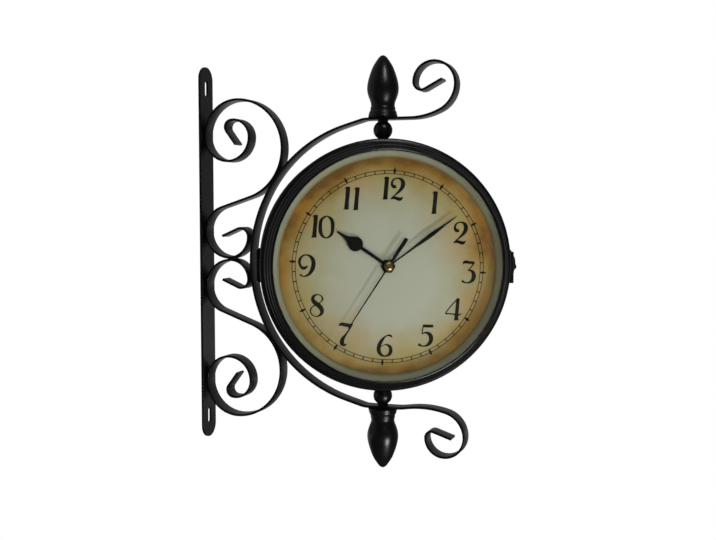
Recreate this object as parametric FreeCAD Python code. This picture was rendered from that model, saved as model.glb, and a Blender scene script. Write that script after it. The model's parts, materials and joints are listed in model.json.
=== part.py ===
import FreeCAD
import Part
import math
import os

V = FreeCAD.Vector

# Bracket sizes, in mm, with the origin at the middle of the bar's wall side
BAR_GAP = 53.0
CLOCK_DROP = 7.0
BAR_LENGTH = 380.0
BAR_WIDTH = 26.5
BAR_THICKNESS = 2.5
SLOT_INSET = 22.0
SLOT_WIDTH = 6.5
SLOT_LENGTH = 16.0
STRIP_WIDTH = 15.6
STRIP_THICKNESS = 2.0
WELD_GAP = 0.4
WELD_BITE = 0.9
WELD_LENGTH = 6.0
WELD_WIDTH = 12.0

# Yoke arm: a bow around the pivot with a flat seat at each pivot and a curled tail
SEAT_STEP = 0.3
SEAT_SHARE = 0.1007
SHIFT_SHARE = 0.0097
SHOULDER_TURN = 16.0
UPPER_TAIL = [
    (0, 15.3), (65.1, 26.0), (27.0, 64.0), (21.3, 90.0), (19.0, 90.0), (7.5, 117.6), (0, 18.5)]
LOWER_TAIL = [
    (60.0, -8.0), (0, 6.4), (89.0, 23.6), (24.6, 74.4), (19.5, 90.0), (18.1, 90.0), (6.0, 108.5), (0, 18.2)]

# Scrolls: bends of the inner curl, of the outer loop and of the small curl at the middle
INNER_CURL = [(25.25, 90.0), (23.9, 90.0), (17.4, 101.2), (7.0, 115.3), (0, 16.6)]
SMALL_CURL = [(8.6, 113.4), (0, 18.4)]
UPPER_LOOP = (36.0, 49.1, 50.9, 72.0)
LOWER_LOOP = (34.5, 48.0, 49.1, 69.6)
SMALL_LOOP_RADIUS = 25.9
MEET_RISE = 2.6
CURL_CLEARANCE = 1.0

# Pivots: bolt, bead and finial
PIVOT_RADIUS = 3.0
PIVOT_FIT = 0.05
AXIAL_GAP = 0.3
BEAD_RADIUS = 9.2
COLLAR_RADIUS = 5.0
BEAD_LENGTH = 19.5
BOLT_HEAD_RADIUS = 5.0
BOLT_HEAD_HEIGHT = 4.0
FINIAL_HEIGHT = 59.7
FINIAL_BORE = 27.0
FINIAL_FOOT = 11.0
FINIAL_LIP = 14.2
FINIAL_LIP_RISE = 2.6
FINIAL_CURVE = [(13.4, 4.2), (11.7, 13.0), (15.2, 28.6), (9.3, 48.0)]

# Case: a round box of two shells, measured from its middle plane towards a dial
CASE_YAW = 25.4
SHELL_RADIUS = 117.0
SHELL_WALL = 1.5
RIM_STAND = 2.0
RIM_HALF = 2.5
RIM_BACKSET = 20.5
MOULDING = [(4.2, 1.5), (2.6, 5.5), (2.5, 5.4), (0.0, 0.8)]
HOLLOW_IN = 0.3
HOLLOW_SHARE = 0.65
LIP_DEPTH = 50.0
LIP_THICKNESS = 1.8
LIP_OVERLAP = 2.0
LIP_CREST = 0.6
LIP_ROUND = (0.5, 0.9)
BORE_STEP = 8.1
BORE_CHAMFER = 1.0
SEAM_DEPTH = 10.0
SEAM_GAP = 0.3
BUSH_RADIUS = 6.0
BUSH_FLANGE = 9.0
BUSH_DROP = 5.0
BUSH_STAND = 1.5

# Glass, pale ring and dial, stacked in the shell's bore
GLASS_THICKNESS = 2.0
RING_HEIGHT = 7.2
RING_SLOPE = 5.6
DIAL_THICKNESS = 1.0
STACK_GAP = 0.3

# Hinge on the left and hasp latch on the right of the seam
HINGE_STAND = 2.9
HINGE_RADIUS = 2.6
HINGE_HALF = 15.0
KNUCKLE_HALF = 5.0
PIN_RADIUS = 1.25
PIN_FIT = 0.05
PIN_HEAD = 2.1
LEAF_THICKNESS = 1.2
LEAF_DEPTH = 14.0
LATCH_DROP = 3.3
LATCH_HALF = 15.0
HASP_STAND = 5.2
HASP_AHEAD = 8.2
HASP_REACH = 24.5
HASP_THICKNESS = 1.6
HASP_OFFSET = 2.0
HASP_BARREL = 2.4
HASP_KNUCKLE_HALF = 6.0
HASP_WEB = 3.0
SLOT_NEAR = 10.8
SLOT_FAR = 21.5
STUD_REACH = 14.2
STUD_RADIUS = 3.0
STUD_STAND = 8.8
ROOT_DEPTH = 1.0
STUD_SLOT_HALF = 3.4

# Quartz movement behind each dial
BOX_DEPTH = 14.5
BOX_WALL = 1.5
COVER_THICKNESS = 1.5
NECK_RADIUS = 4.0
NECK_LENGTH = 2.8
NECK_FIT = 0.15
NUT_FLATS = 12.0
NUT_HEIGHT = 1.6
BATTERY_RADIUS = 7.0
BATTERY_LENGTH = 50.6
CONTACT_THICKNESS = 1.2
BAY_GAP = 0.375
BAY_WALL = 0.75
RUN_FIT = 0.05
POST_RADIUS = 0.4
SECOND_ARBOR = 0.75
MINUTE_TUBE = 1.65
HOUR_TUBE = 2.55
WHEEL_THICKNESS = 1.0
LAYER_PITCH = 1.6
TOOTH_ADDENDUM = 0.75
TOOTH_DEDENDUM = 1.05
TOOTH_ROOT_SHARE = 0.29
TOOTH_TIP_SHARE = 0.10
KNOB_RADIUS = 5.0
KNOB_SHAFT = 1.5
HUB_RADIUS = 0.62
ROTOR_RADIUS = 2.5
ROTOR_GAP = 0.35
STATOR_MARGIN = 1.0
STATOR_THICKNESS = 1.2
STATOR_HALF = 9.0
COIL_WIDTH = 8.5
COIL_HALF = 8.0
BOARD_WIDTH = 9.5
BOARD_THICKNESS = 1.2

# Gear centres: distance and direction in degrees, seen from the front
MOTION_AT = (9.0, 180.0)
THIRD_AT = (9.0, 60.0)
MIDDLE_AT = (7.0, -30.0)
ROTOR_AT = (6.0, 20.0)
KNOB_AT = (8.55, 150.0)

# Tooth counts of each pair of wheels, from the dial backwards
HOUR_TEETH = (48, 12)
MOTION_TEETH = (15, 45)
CENTRE_TEETH = (64, 8)
THIRD_TEETH = (8, 60)
SECOND_TEETH = (48, 8)
ROTOR_TEETH = (8, 40)
KNOB_TEETH = 12

# Hands: angle clockwise from the top, length as a share of the dial, height of the back over the dial
HOUR_ANGLE = 304.4
HOUR_SHARE = 0.5703
HOUR_RISE = 2.1
HOUR_BOSS = 5.2
HOUR_LINE = [
    (1.1, 0.0), (1.3, 0.469), (4.2, 0.538), (5.9, 0.625), (5.6, 0.694), (3.4, 0.781), (1.5, 0.868), (0.0, 1.0)]
MINUTE_ANGLE = 54.1
MINUTE_SHARE = 0.7822
MINUTE_RISE = 3.3
MINUTE_BOSS = 4.2
MINUTE_LINE = [(0.9, 0.0), (1.2, 0.329), (3.1, 0.532), (1.7, 0.759), (0.0, 1.0)]
SECOND_ANGLE = 213.2
SECOND_SHARE = 0.6782
SECOND_RISE = 4.5
SECOND_BOSS = 3.0
SECOND_LINE = [(1.7, -0.4526), (1.2, -0.1168), (0.5, 0.0), (0.3, 1.0)]
HAND_THICKNESS = 0.5

# Sizes that follow from the driving ones, from the case outwards to the bracket
rim_radius = SHELL_RADIUS + RIM_STAND
rim_depth = LIP_DEPTH - RIM_BACKSET
bore_radius = SHELL_RADIUS - BORE_STEP
opening_radius = bore_radius - LIP_OVERLAP
glass_seat = LIP_DEPTH - LIP_THICKNESS
glass_back = glass_seat - GLASS_THICKNESS
dial_front = glass_back - RING_HEIGHT
dial_back = dial_front - DIAL_THICKNESS
ring_top = opening_radius - STACK_GAP
dial_shown = ring_top - RING_SLOPE
hinge_at = SHELL_RADIUS + HINGE_STAND
hasp_at = SHELL_RADIUS + HASP_STAND
hasp_depth = SEAM_DEPTH + HASP_AHEAD
stud_tip = hasp_at + STUD_STAND
inside_half = BATTERY_LENGTH / 2 + CONTACT_THICKNESS
box_half = inside_half + BOX_WALL
bay_ceiling = 2 * (BATTERY_RADIUS + BAY_GAP) - inside_half
bay_top = bay_ceiling + BAY_WALL
box_front = dial_back
box_back = box_front - BOX_DEPTH
cover_back = box_back - COVER_THICKNESS
neck_front = box_front + NECK_LENGTH
half_strip = STRIP_THICKNESS / 2
bush_low = SHELL_RADIUS - BUSH_DROP
bush_top = SHELL_RADIUS + BUSH_STAND
bead_low = bush_top + AXIAL_GAP
arm_under = bead_low + BEAD_LENGTH
seat_height = arm_under + half_strip
arm_over = seat_height + half_strip
bow_radius = seat_height - SEAT_STEP
bow_shift = SHIFT_SHARE * bow_radius
seat_half = SEAT_SHARE * bow_radius
wall_distance = bow_radius + BAR_GAP
bar_face = BAR_THICKNESS - wall_distance
slot_height = BAR_LENGTH / 2 - SLOT_INSET


def run(start, heading, moves):
    """Pieces of a centre line from (radius, turn) bends and (0, length) straights."""
    x, z = start
    angle = math.radians(heading)
    pieces = []
    for radius, amount in moves:
        if radius == 0:
            end = (x + amount * math.cos(angle), z + amount * math.sin(angle), angle)
            pieces.append((x, z, angle, *end, 0.0))
        else:
            signed = math.copysign(radius, amount)
            after = angle + math.radians(amount)
            cx = x - signed * math.sin(angle)
            cz = z + signed * math.cos(angle)
            end = (cx + signed * math.sin(after), cz - signed * math.cos(after), after)
            pieces.append((x, z, angle, *end, signed))
        x, z, angle = end
    return pieces


def backwards(pieces):
    """The same centre line walked from its other end."""
    swapped = []
    for x0, z0, h0, x1, z1, h1, radius in reversed(pieces):
        swapped.append((x1, z1, h1 + math.pi, x0, z0, h0 + math.pi, -radius))
    return swapped


def side_edge(piece, offset):
    """One piece of a strip's side, a line or an arc."""
    x0, z0, h0, x1, z1, h1, radius = piece
    first = V(x0 - offset * math.sin(h0), 0, z0 + offset * math.cos(h0))
    last = V(x1 - offset * math.sin(h1), 0, z1 + offset * math.cos(h1))
    if radius == 0:
        return Part.makeLine(first, last)
    centre = V(x0 - radius * math.sin(h0), 0, z0 + radius * math.cos(h0))
    half = (h0 + h1) / 2
    middle = centre + V(math.sin(half), 0, -math.cos(half)) * (radius - offset)
    return Part.Arc(first, middle, last).toShape()


def strip(pieces):
    """Flat bar bent along a centre line that lies in the XZ plane."""
    left = [side_edge(piece, STRIP_THICKNESS / 2) for piece in pieces]
    right = [side_edge(piece, -STRIP_THICKNESS / 2) for piece in pieces]
    ends = [Part.makeLine(left[i].Vertexes[i].Point, right[i].Vertexes[i].Point) for i in (0, -1)]
    wire = Part.Wire(Part.__sortEdges__(left + right + ends))
    solid = Part.Face(wire).extrude(V(0, STRIP_WIDTH, 0))
    solid.translate(V(0, -STRIP_WIDTH / 2, 0))
    return solid


def stadium(middle, width, length, thickness):
    """Upright bar with round ends, from the wall plane outwards."""
    straight = length - width
    core = Part.makeBox(thickness, width, straight, V(0, -width / 2, middle - straight / 2))
    tops = [V(0, 0, middle + side * straight / 2) for side in (-1, 1)]
    ends = [Part.makeCylinder(width / 2, thickness, top, V(1, 0, 0)) for top in tops]
    return core.multiFuse(ends).removeSplitter()


def turned(profile):
    """Solid of revolution around the upright axis from (radius, height) lines, arcs and curves."""
    solid = Part.Face(Part.Wire(profile)).revolve(V(0, 0, 0), V(0, 0, 1), 360)
    return Part.makeSolid(solid) if solid.ShapeType == "Shell" else solid


def line(a, b):
    """Straight edge of a turned profile between two (radius, height) points."""
    return Part.makeLine(V(a[0], 0, a[1]), V(b[0], 0, b[1]))


def arc(a, through, b):
    """Arc of a turned profile through three (radius, height) points."""
    return Part.Arc(*[V(p[0], 0, p[1]) for p in (a, through, b)]).toShape()


def polyline(points):
    """Straight edges of a turned profile along a row of points."""
    return [line(a, b) for a, b in zip(points, points[1:])]


def to_dial(solid):
    """Lay a solid turned around the upright axis down, so that its top faces a dial's viewer."""
    solid.rotate(V(0, 0, 0), V(1, 0, 0), 90)
    return solid


def disc(radius, back, front, at=(0.0, 0.0)):
    """Cylinder along the dial axis between two depths."""
    return Part.makeCylinder(radius, front - back, V(at[0], -back, at[1]), V(0, -1, 0))


def block(left, right, back, front, low, high):
    """Box in dial coordinates: sideways, depth and height."""
    return Part.makeBox(right - left, front - back, high - low, V(left, -front, low))


def polar(distance_angle, origin=(0.0, 0.0)):
    """Point at a distance and direction from another point."""
    distance = distance_angle[0]
    angle = math.radians(distance_angle[1])
    return (origin[0] + distance * math.cos(angle), origin[1] + distance * math.sin(angle))


def toothed(teeth, radius, at, phase, layer):
    """Toothed disc in one layer of the movement; a tooth points to the phase angle."""
    module = 2 * radius / teeth
    root = radius - TOOTH_DEDENDUM * module
    tip = radius + TOOTH_ADDENDUM * module
    pitch = 2 * math.pi / teeth
    corners = [(root, -TOOTH_ROOT_SHARE), (tip, -TOOTH_TIP_SHARE)]
    corners += [(tip, TOOTH_TIP_SHARE), (root, TOOTH_ROOT_SHARE)]
    back = layer_back(layer)
    outline = []
    for tooth in range(teeth):
        for distance, share in corners:
            angle = phase + (tooth + share) * pitch
            x = at[0] + distance * math.cos(angle)
            z = at[1] + distance * math.sin(angle)
            outline.append(V(x, -back, z))
    outline.append(outline[0])
    return Part.Face(Part.makePolygon(outline)).extrude(V(0, -WHEEL_THICKNESS, 0))


def layer_back(layer):
    """Depth of the back of a wheel layer, counted from the dial."""
    return box_front - BOX_WALL - AXIAL_GAP - WHEEL_THICKNESS - LAYER_PITCH * (layer - 1)


def pair(layer, first, second, teeth):
    """Two meshing toothed discs: a tooth of the first stands in a gap of the second."""
    first_teeth, second_teeth = teeth
    dx = second[0] - first[0]
    dz = second[1] - first[1]
    distance = math.hypot(dx, dz)
    facing = math.atan2(dz, dx)
    first_radius = distance * first_teeth / (first_teeth + second_teeth)
    one = toothed(first_teeth, first_radius, first, facing, layer)
    gap_phase = facing + math.pi + math.pi / second_teeth
    two = toothed(second_teeth, distance - first_radius, second, gap_phase, layer)
    return one, two


def in_case(shape):
    """Place a shape from case coordinates at the pivot, turned as the case rests."""
    placed = shape.copy()
    placed.rotate(V(0, 0, 0), V(0, 0, 1), CASE_YAW)
    placed.translate(V(wall_distance, 0, -CLOCK_DROP))
    return placed


def to_rear(shape):
    """The same piece for the rear dial."""
    turned_piece = shape.copy()
    turned_piece.rotate(V(0, 0, 0), V(0, 0, 1), 180)
    return turned_piece


def at_pivot(shape):
    """Place a bracket shape from pivot coordinates."""
    placed = shape.copy()
    placed.translate(V(wall_distance, 0, -CLOCK_DROP))
    return placed


def below(shape):
    """The lower of two pivots' pieces, the upper one turned over."""
    flipped = shape.copy()
    flipped.rotate(V(0, 0, 0), V(0, 1, 0), 180)
    return flipped


nodes = {}

# Wall bar with two upright screw slots
bar = stadium(0.0, BAR_WIDTH, BAR_LENGTH, BAR_THICKNESS)
for side in (-1, 1):
    bar = bar.cut(stadium(side * slot_height, SLOT_WIDTH, SLOT_LENGTH, BAR_THICKNESS))
nodes["wall_bar"] = bar

# Yoke arm: upper tail, bow and lower tail as one strip, drilled at both pivots
shoulder = math.radians(SHOULDER_TURN)
ramp_run = bow_radius * math.sin(shoulder) - bow_shift - seat_half
ramp_rise = seat_height - bow_radius * math.cos(shoulder)
flat_cos = math.cos(shoulder) - 1
ramp = -(ramp_run * flat_cos + ramp_rise * math.sin(shoulder)) / flat_cos
ramp_bend = (math.cos(shoulder) * ramp_rise - math.sin(shoulder) * ramp_run) / flat_cos
bow_moves = [(ramp_bend, SHOULDER_TURN), (0, ramp), (bow_radius, 180.0 - 2 * SHOULDER_TURN)]
bow_moves += [(0, ramp), (ramp_bend, SHOULDER_TURN)]
bow = run((-seat_half, seat_height), 180.0, bow_moves)
upper_tail = run((-seat_half, seat_height), 0.0, [(0, 2 * seat_half)] + UPPER_TAIL)
mirrored_tail = [(radius, amount if radius == 0 else -amount) for radius, amount in LOWER_TAIL]
lower_tail = run((-seat_half, -seat_height), 0.0, [(0, 2 * seat_half)] + mirrored_tail)
arm = strip(backwards(upper_tail) + bow + lower_tail)
hole_end = seat_height + STRIP_THICKNESS
arm = arm.cut(Part.makeCylinder(PIVOT_RADIUS, 2 * hole_end, V(0, 0, -hole_end)))
nodes["yoke_arm"] = at_pivot(arm)


def scroll(side, loop):
    """One scroll above (1) or below (-1) the middle, with the weld pads that hold it."""
    first, second, third, sweep = loop
    turn = math.radians(sweep)
    edge = bar_face + WELD_GAP + half_strip
    hub_x = edge + first + second - third
    hub_distance = bow_radius + half_strip + WELD_GAP + half_strip + third
    hub_z = math.sqrt(hub_distance ** 2 - (hub_x - bow_shift) ** 2)
    start_z = hub_z - first + second
    joined = third + SMALL_LOOP_RADIUS
    straight = (first + second - joined * (1 - math.cos(turn))) / math.sin(turn)
    low_z = hub_z - joined * math.sin(turn) - straight * math.cos(turn)
    last_radius = low_z - side * MEET_RISE - half_strip - WELD_GAP / 2
    outer = [(first, -90.0), (second, -90.0), (third, -sweep), (0, straight)]
    curl_radius = bow_shift - bow_radius - STRIP_THICKNESS - CURL_CLEARANCE - edge - last_radius
    outer += [(SMALL_LOOP_RADIUS, sweep), (last_radius, 90.0), (curl_radius, 90.0)] + SMALL_CURL
    outer = [(r, a if r == 0 else side * a) for r, a in outer]
    inner = [(r, a if r == 0 else side * a) for r, a in INNER_CURL]
    start = (edge, side * start_z)
    body = strip(backwards(run(start, -90.0 * side, inner)) + run(start, 90.0 * side, outer))
    depth = WELD_GAP + WELD_BITE
    pads = []
    for z in (side * start_z, side * low_z):
        corner = V(bar_face, -WELD_WIDTH / 2, z - WELD_LENGTH / 2)
        pads.append(Part.makeBox(depth, WELD_WIDTH, WELD_LENGTH, corner).cut(body))
    corner = V(bow_radius + half_strip - WELD_BITE, -WELD_WIDTH / 2, -WELD_LENGTH / 2)
    touch = Part.makeBox(WELD_GAP + 2 * WELD_BITE, WELD_WIDTH, WELD_LENGTH, corner)
    touch.rotate(V(0, 0, 0), V(0, 1, 0), -math.degrees(math.atan2(side * hub_z, hub_x - bow_shift)))
    touch.translate(V(bow_shift, 0, 0))
    pads.append(touch.cut(body).cut(arm))
    return body, pads, edge + last_radius


upper_scroll, upper_pads, upper_foot = scroll(1, UPPER_LOOP)
lower_scroll, lower_pads, lower_foot = scroll(-1, LOWER_LOOP)
meet_half = WELD_GAP / 2 + WELD_BITE
meet_x = (upper_foot + lower_foot - WELD_LENGTH) / 2
meet_corner = V(meet_x, -WELD_WIDTH / 2, MEET_RISE - meet_half)
meet_pad = Part.makeBox(WELD_LENGTH, WELD_WIDTH, 2 * meet_half, meet_corner)
pads = upper_pads + lower_pads + [meet_pad.cut(upper_scroll).cut(lower_scroll)]
nodes["upper_scroll"] = at_pivot(upper_scroll)
nodes["lower_scroll"] = at_pivot(lower_scroll)
nodes["weld_pads"] = at_pivot(Part.makeCompound([solid for pad in pads for solid in pad.Solids]))

# Pivot bolt, bead and finial, from the inside of the case outwards
bead = Part.makeSphere(BEAD_RADIUS, V(0, 0, bead_low + BEAD_LENGTH / 2))
bead = bead.fuse(Part.makeCylinder(COLLAR_RADIUS, BEAD_LENGTH, V(0, 0, bead_low)))
bead = bead.cut(Part.makeCylinder(PIVOT_RADIUS, BEAD_LENGTH, V(0, 0, bead_low)))
head_top = bush_low - AXIAL_GAP
bolt = Part.makeCylinder(BOLT_HEAD_RADIUS, BOLT_HEAD_HEIGHT, V(0, 0, head_top - BOLT_HEAD_HEIGHT))
bolt = bolt.fuse(Part.makeCylinder(PIVOT_RADIUS, arm_over + FINIAL_BORE - head_top, V(0, 0, head_top)))
rise = [(radius, arm_over + height) for radius, height in FINIAL_CURVE]
tip = (0.0, arm_over + FINIAL_HEIGHT)
lip = (FINIAL_LIP, arm_over + FINIAL_LIP_RISE)
curve = Part.BSplineCurve()
curve.interpolate([V(r, 0, z) for r, z in [lip] + rise + [tip]])
foot = [(0.0, arm_over), (FINIAL_FOOT, arm_over), lip]
finial = turned(polyline(foot) + [curve.toShape(), line(tip, foot[0])])
finial = finial.cut(Part.makeCylinder(PIVOT_RADIUS, FINIAL_BORE, V(0, 0, arm_over)))
nodes["top_finial"] = at_pivot(finial)
nodes["bottom_finial"] = at_pivot(below(finial))
nodes["pivot_beads"] = at_pivot(Part.makeCompound([bead, below(bead)]))
nodes["pivot_bolts"] = at_pivot(Part.makeCompound([bolt, below(bolt)]))


def shell(back):
    """Half of the case from a back edge to the rolled lip round the glass."""
    inner = SHELL_RADIUS - SHELL_WALL
    rim_back = rim_depth - RIM_HALF
    rim_front = rim_depth + RIM_HALF
    steps = [(rim_radius, rim_front)]
    for inward, forward in MOULDING:
        steps.append((steps[-1][0] - inward, steps[-1][1] + forward))
    outer = [line((SHELL_RADIUS, back), (SHELL_RADIUS, rim_back))]
    outer.append(arc((SHELL_RADIUS, rim_back), (rim_radius, rim_depth), (SHELL_RADIUS, rim_front)))
    outer.append(line((SHELL_RADIUS, rim_front), steps[1]))
    for low, high in ((steps[1], steps[2]), (steps[2], steps[3])):
        hollow = (low[0] - HOLLOW_IN, low[1] + HOLLOW_SHARE * (high[1] - low[1]))
        outer.append(arc(low, hollow, high))
    outer.append(line(steps[3], steps[4]))
    crest = (opening_radius + LIP_CREST, LIP_DEPTH)
    outer.append(arc(steps[4], (steps[4][0] - LIP_ROUND[0], LIP_DEPTH - LIP_ROUND[1]), crest))
    inside = [crest, (opening_radius, LIP_DEPTH - LIP_ROUND[0]), (opening_radius, glass_seat)]
    inside += [(bore_radius, glass_seat), (bore_radius, rim_front + BORE_CHAMFER), (inner, rim_back)]
    inside += [(inner, back), (SHELL_RADIUS, back)]
    return to_dial(turned(outer + polyline(inside)))


# Rear shell with its two pivot bushes, and front shell, which swings open
bush = Part.makeCylinder(BUSH_RADIUS, bush_top - bush_low, V(0, 0, bush_low))
flange_top = math.sqrt((SHELL_RADIUS - SHELL_WALL) ** 2 - BUSH_FLANGE ** 2) - PIVOT_FIT
bush = bush.fuse(Part.makeCylinder(BUSH_FLANGE, flange_top - bush_low, V(0, 0, bush_low)))
bush = bush.cut(Part.makeCylinder(PIVOT_RADIUS + PIVOT_FIT, bush_top, V(0, 0, bush_low)))
rear_shell = to_rear(shell(-SEAM_DEPTH))
for way in (1, -1):
    root = V(0, 0, way * bush_low)
    rear_shell = rear_shell.cut(Part.makeCylinder(BUSH_RADIUS, BUSH_DROP + BUSH_STAND, root, V(0, 0, way)))
nodes["rear_shell"] = in_case(rear_shell)
nodes["front_shell"] = in_case(shell(SEAM_DEPTH + SEAM_GAP))
nodes["pivot_bushes"] = in_case(Part.makeCompound([bush, below(bush)]))

# Glass, pale ring and dial of one side
glass = disc(bore_radius - STACK_GAP, glass_back, glass_seat)
ring_side = bore_radius - STACK_GAP
ring_points = [(dial_shown, dial_front), (ring_top, glass_back), (ring_side, glass_back)]
ring_points += [(ring_side, dial_front), (dial_shown, dial_front)]
pale_ring = to_dial(turned(polyline(ring_points)))
dial = disc(bore_radius, dial_back, dial_front).cut(disc(NECK_RADIUS + NECK_FIT, dial_back, dial_front))

# Movement box: front wall, side walls, battery bay wall, wheel posts and threaded neck
centre = (0.0, 0.0)
motion = polar(MOTION_AT)
third = polar(THIRD_AT)
middle = polar(MIDDLE_AT)
rotor = polar(ROTOR_AT, middle)
knob = polar(KNOB_AT, motion)
wall_front = box_front - BOX_WALL
housing = block(-box_half, box_half, box_back, box_front, -box_half, box_half)
housing = housing.cut(block(-inside_half, inside_half, box_back, wall_front, -inside_half, inside_half))
housing = housing.fuse(block(-inside_half, inside_half, box_back, wall_front, bay_ceiling, bay_top))
housing = housing.fuse(disc(NECK_RADIUS, box_front, neck_front))
housing = housing.cut(disc(HOUR_TUBE + RUN_FIT, wall_front, neck_front))
housing = housing.fuse(disc(POST_RADIUS, layer_back(2) - AXIAL_GAP, wall_front, motion))
housing = housing.fuse(disc(POST_RADIUS, layer_back(4) - AXIAL_GAP, wall_front, third)).removeSplitter()

# Movement cover over the wheels, with posts, a bearing for the second arbor and a hole for the knob
cover = block(-box_half, box_half, cover_back, box_back, bay_ceiling, box_half)
cover = cover.cut(disc(KNOB_SHAFT + RUN_FIT, cover_back, box_back, knob))
cover = cover.cut(disc(SECOND_ARBOR + RUN_FIT, cover_back, box_back))
middle_top = layer_back(5) + WHEEL_THICKNESS + AXIAL_GAP / 2
cover = cover.fuse(disc(POST_RADIUS, box_back, middle_top, middle))
cover = cover.fuse(disc(POST_RADIUS, box_back, layer_back(6) + WHEEL_THICKNESS + AXIAL_GAP, rotor))

# Wheels, from the dial backwards
hour_ring, motion_pinion = pair(1, centre, motion, HOUR_TEETH)
minute_pinion, motion_ring = pair(2, centre, motion, MOTION_TEETH)
centre_ring, third_pinion = pair(3, centre, third, CENTRE_TEETH)
second_pinion, third_ring = pair(4, centre, third, THIRD_TEETH)
second_ring, middle_pinion = pair(5, centre, middle, SECOND_TEETH)
rotor_pinion, middle_ring = pair(6, rotor, middle, ROTOR_TEETH)
hour_top = dial_front + HOUR_RISE + HAND_THICKNESS
minute_top = dial_front + MINUTE_RISE + HAND_THICKNESS
second_top = dial_front + SECOND_RISE + HAND_THICKNESS
hour_wheel = hour_ring.fuse(disc(HOUR_TUBE, layer_back(1), hour_top))
hour_wheel = hour_wheel.cut(disc(MINUTE_TUBE + RUN_FIT, layer_back(1), hour_top)).removeSplitter()
minute_wheel = centre_ring.fuse(minute_pinion).fuse(disc(MINUTE_TUBE, layer_back(3), minute_top))
minute_wheel = minute_wheel.cut(disc(SECOND_ARBOR + RUN_FIT, layer_back(3), minute_top)).removeSplitter()
arbor = disc(SECOND_ARBOR, cover_back + AXIAL_GAP, second_top)
second_wheel = second_ring.fuse(second_pinion).fuse(arbor).removeSplitter()


def on_post(rings, at, back, front, hub):
    """Wheel and pinion on one hub, bored for their post."""
    body = disc(hub, back, front, at).multiFuse(rings)
    return body.cut(disc(POST_RADIUS + RUN_FIT, back, front, at)).removeSplitter()


def layers(first, last):
    """Depths from the back of the last layer to the front of the first."""
    return layer_back(last), layer_back(first) + WHEEL_THICKNESS


motion_wheel = on_post([motion_pinion, motion_ring], motion, *layers(1, 2), 2 * HUB_RADIUS)
third_wheel = on_post([third_pinion, third_ring], third, *layers(3, 4), HUB_RADIUS)
middle_wheel = on_post([middle_pinion, middle_ring], middle, *layers(5, 6), HUB_RADIUS)
rotor_back = box_back + AXIAL_GAP
magnet_front = layer_back(6) - AXIAL_GAP
magnet = disc(ROTOR_RADIUS, rotor_back, magnet_front, rotor)
rotor_body = on_post([magnet, rotor_pinion], rotor, rotor_back, layers(6, 6)[1], HUB_RADIUS)

# Setting knob: its pinion takes up the phase of the motion wheel where they meet
motion_teeth = MOTION_TEETH[1]
wheel_phase = math.atan2(-motion[1], -motion[0]) + math.pi / motion_teeth
facing = math.radians(KNOB_AT[1])
wheel_pitch = 2 * math.pi / motion_teeth
lead = (wheel_phase - facing) % wheel_pitch
knob_radius = KNOB_AT[0] * KNOB_TEETH / (KNOB_TEETH + motion_teeth)
knob_phase = facing + math.pi - lead * motion_teeth / KNOB_TEETH + math.pi / KNOB_TEETH
knob_body = toothed(KNOB_TEETH, knob_radius, knob, knob_phase, 2)
knob_front = cover_back - AXIAL_GAP
knob_body = knob_body.fuse(disc(KNOB_SHAFT, knob_front, layers(2, 2)[1], knob))
knob_body = knob_body.fuse(disc(KNOB_RADIUS, knob_front - 2 * WHEEL_THICKNESS, knob_front, knob))

# Drive: stator plate with its coil, circuit board, battery and its contacts
stator_back = rotor_back + AXIAL_GAP
stator_front = stator_back + STATOR_THICKNESS
stator_left = rotor[0] - ROTOR_RADIUS - STATOR_MARGIN
stator = block(stator_left, inside_half, stator_back, stator_front, -STATOR_HALF, STATOR_HALF)
stator = stator.cut(disc(ROTOR_RADIUS + ROTOR_GAP, stator_back, stator_front, rotor))
coil = block(inside_half - COIL_WIDTH, inside_half, box_back, layer_back(4), -COIL_HALF, COIL_HALF)
stator = stator.fuse(coil).removeSplitter()
board_back = layer_back(4)
board_front = board_back + BOARD_THICKNESS
board = block(-inside_half, inside_half, board_back, board_front, inside_half - BOARD_WIDTH, inside_half)
battery_depth = wall_front - BATTERY_RADIUS - AXIAL_GAP
battery_z = (bay_ceiling - inside_half) / 2
battery_end = V(-BATTERY_LENGTH / 2, -battery_depth, battery_z)
battery = Part.makeCylinder(BATTERY_RADIUS, BATTERY_LENGTH, battery_end, V(1, 0, 0))
plate = (battery_depth - BATTERY_RADIUS / 2, battery_depth + BATTERY_RADIUS / 2)
plate_z = (battery_z - BATTERY_RADIUS / 2, battery_z + BATTERY_RADIUS / 2)
contacts = [block(BATTERY_LENGTH / 2, inside_half, *plate, *plate_z)]
contacts.append(block(-inside_half, -BATTERY_LENGTH / 2, *plate, *plate_z))

# Nut that clamps dial and movement
corner = NUT_FLATS / math.sqrt(3)
hexagon = [polar((corner, 60.0 * i)) for i in range(7)]
nut_face = Part.Face(Part.makePolygon([V(x, -dial_front, z) for x, z in hexagon]))
nut = nut_face.extrude(V(0, -NUT_HEIGHT, 0)).cut(disc(NECK_RADIUS, dial_front, dial_front + NUT_HEIGHT))


def hand(outline, length, boss, hole, rise, angle):
    """Flat hand from (half width, share of length) points up one side, with a bored boss."""
    back = dial_front + rise
    front = back + HAND_THICKNESS
    right = [V(w, -back, share * length) for w, share in outline]
    left = [V(-p.x, p.y, p.z) for p in reversed(right) if p.x > 0]
    blade = Part.Face(Part.makePolygon(right + left + right[:1])).extrude(V(0, -HAND_THICKNESS, 0))
    blade = blade.fuse(disc(boss, back, front)).cut(disc(hole, back, front)).removeSplitter()
    blade.rotate(V(0, 0, 0), V(0, 1, 0), angle)
    return blade


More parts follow.
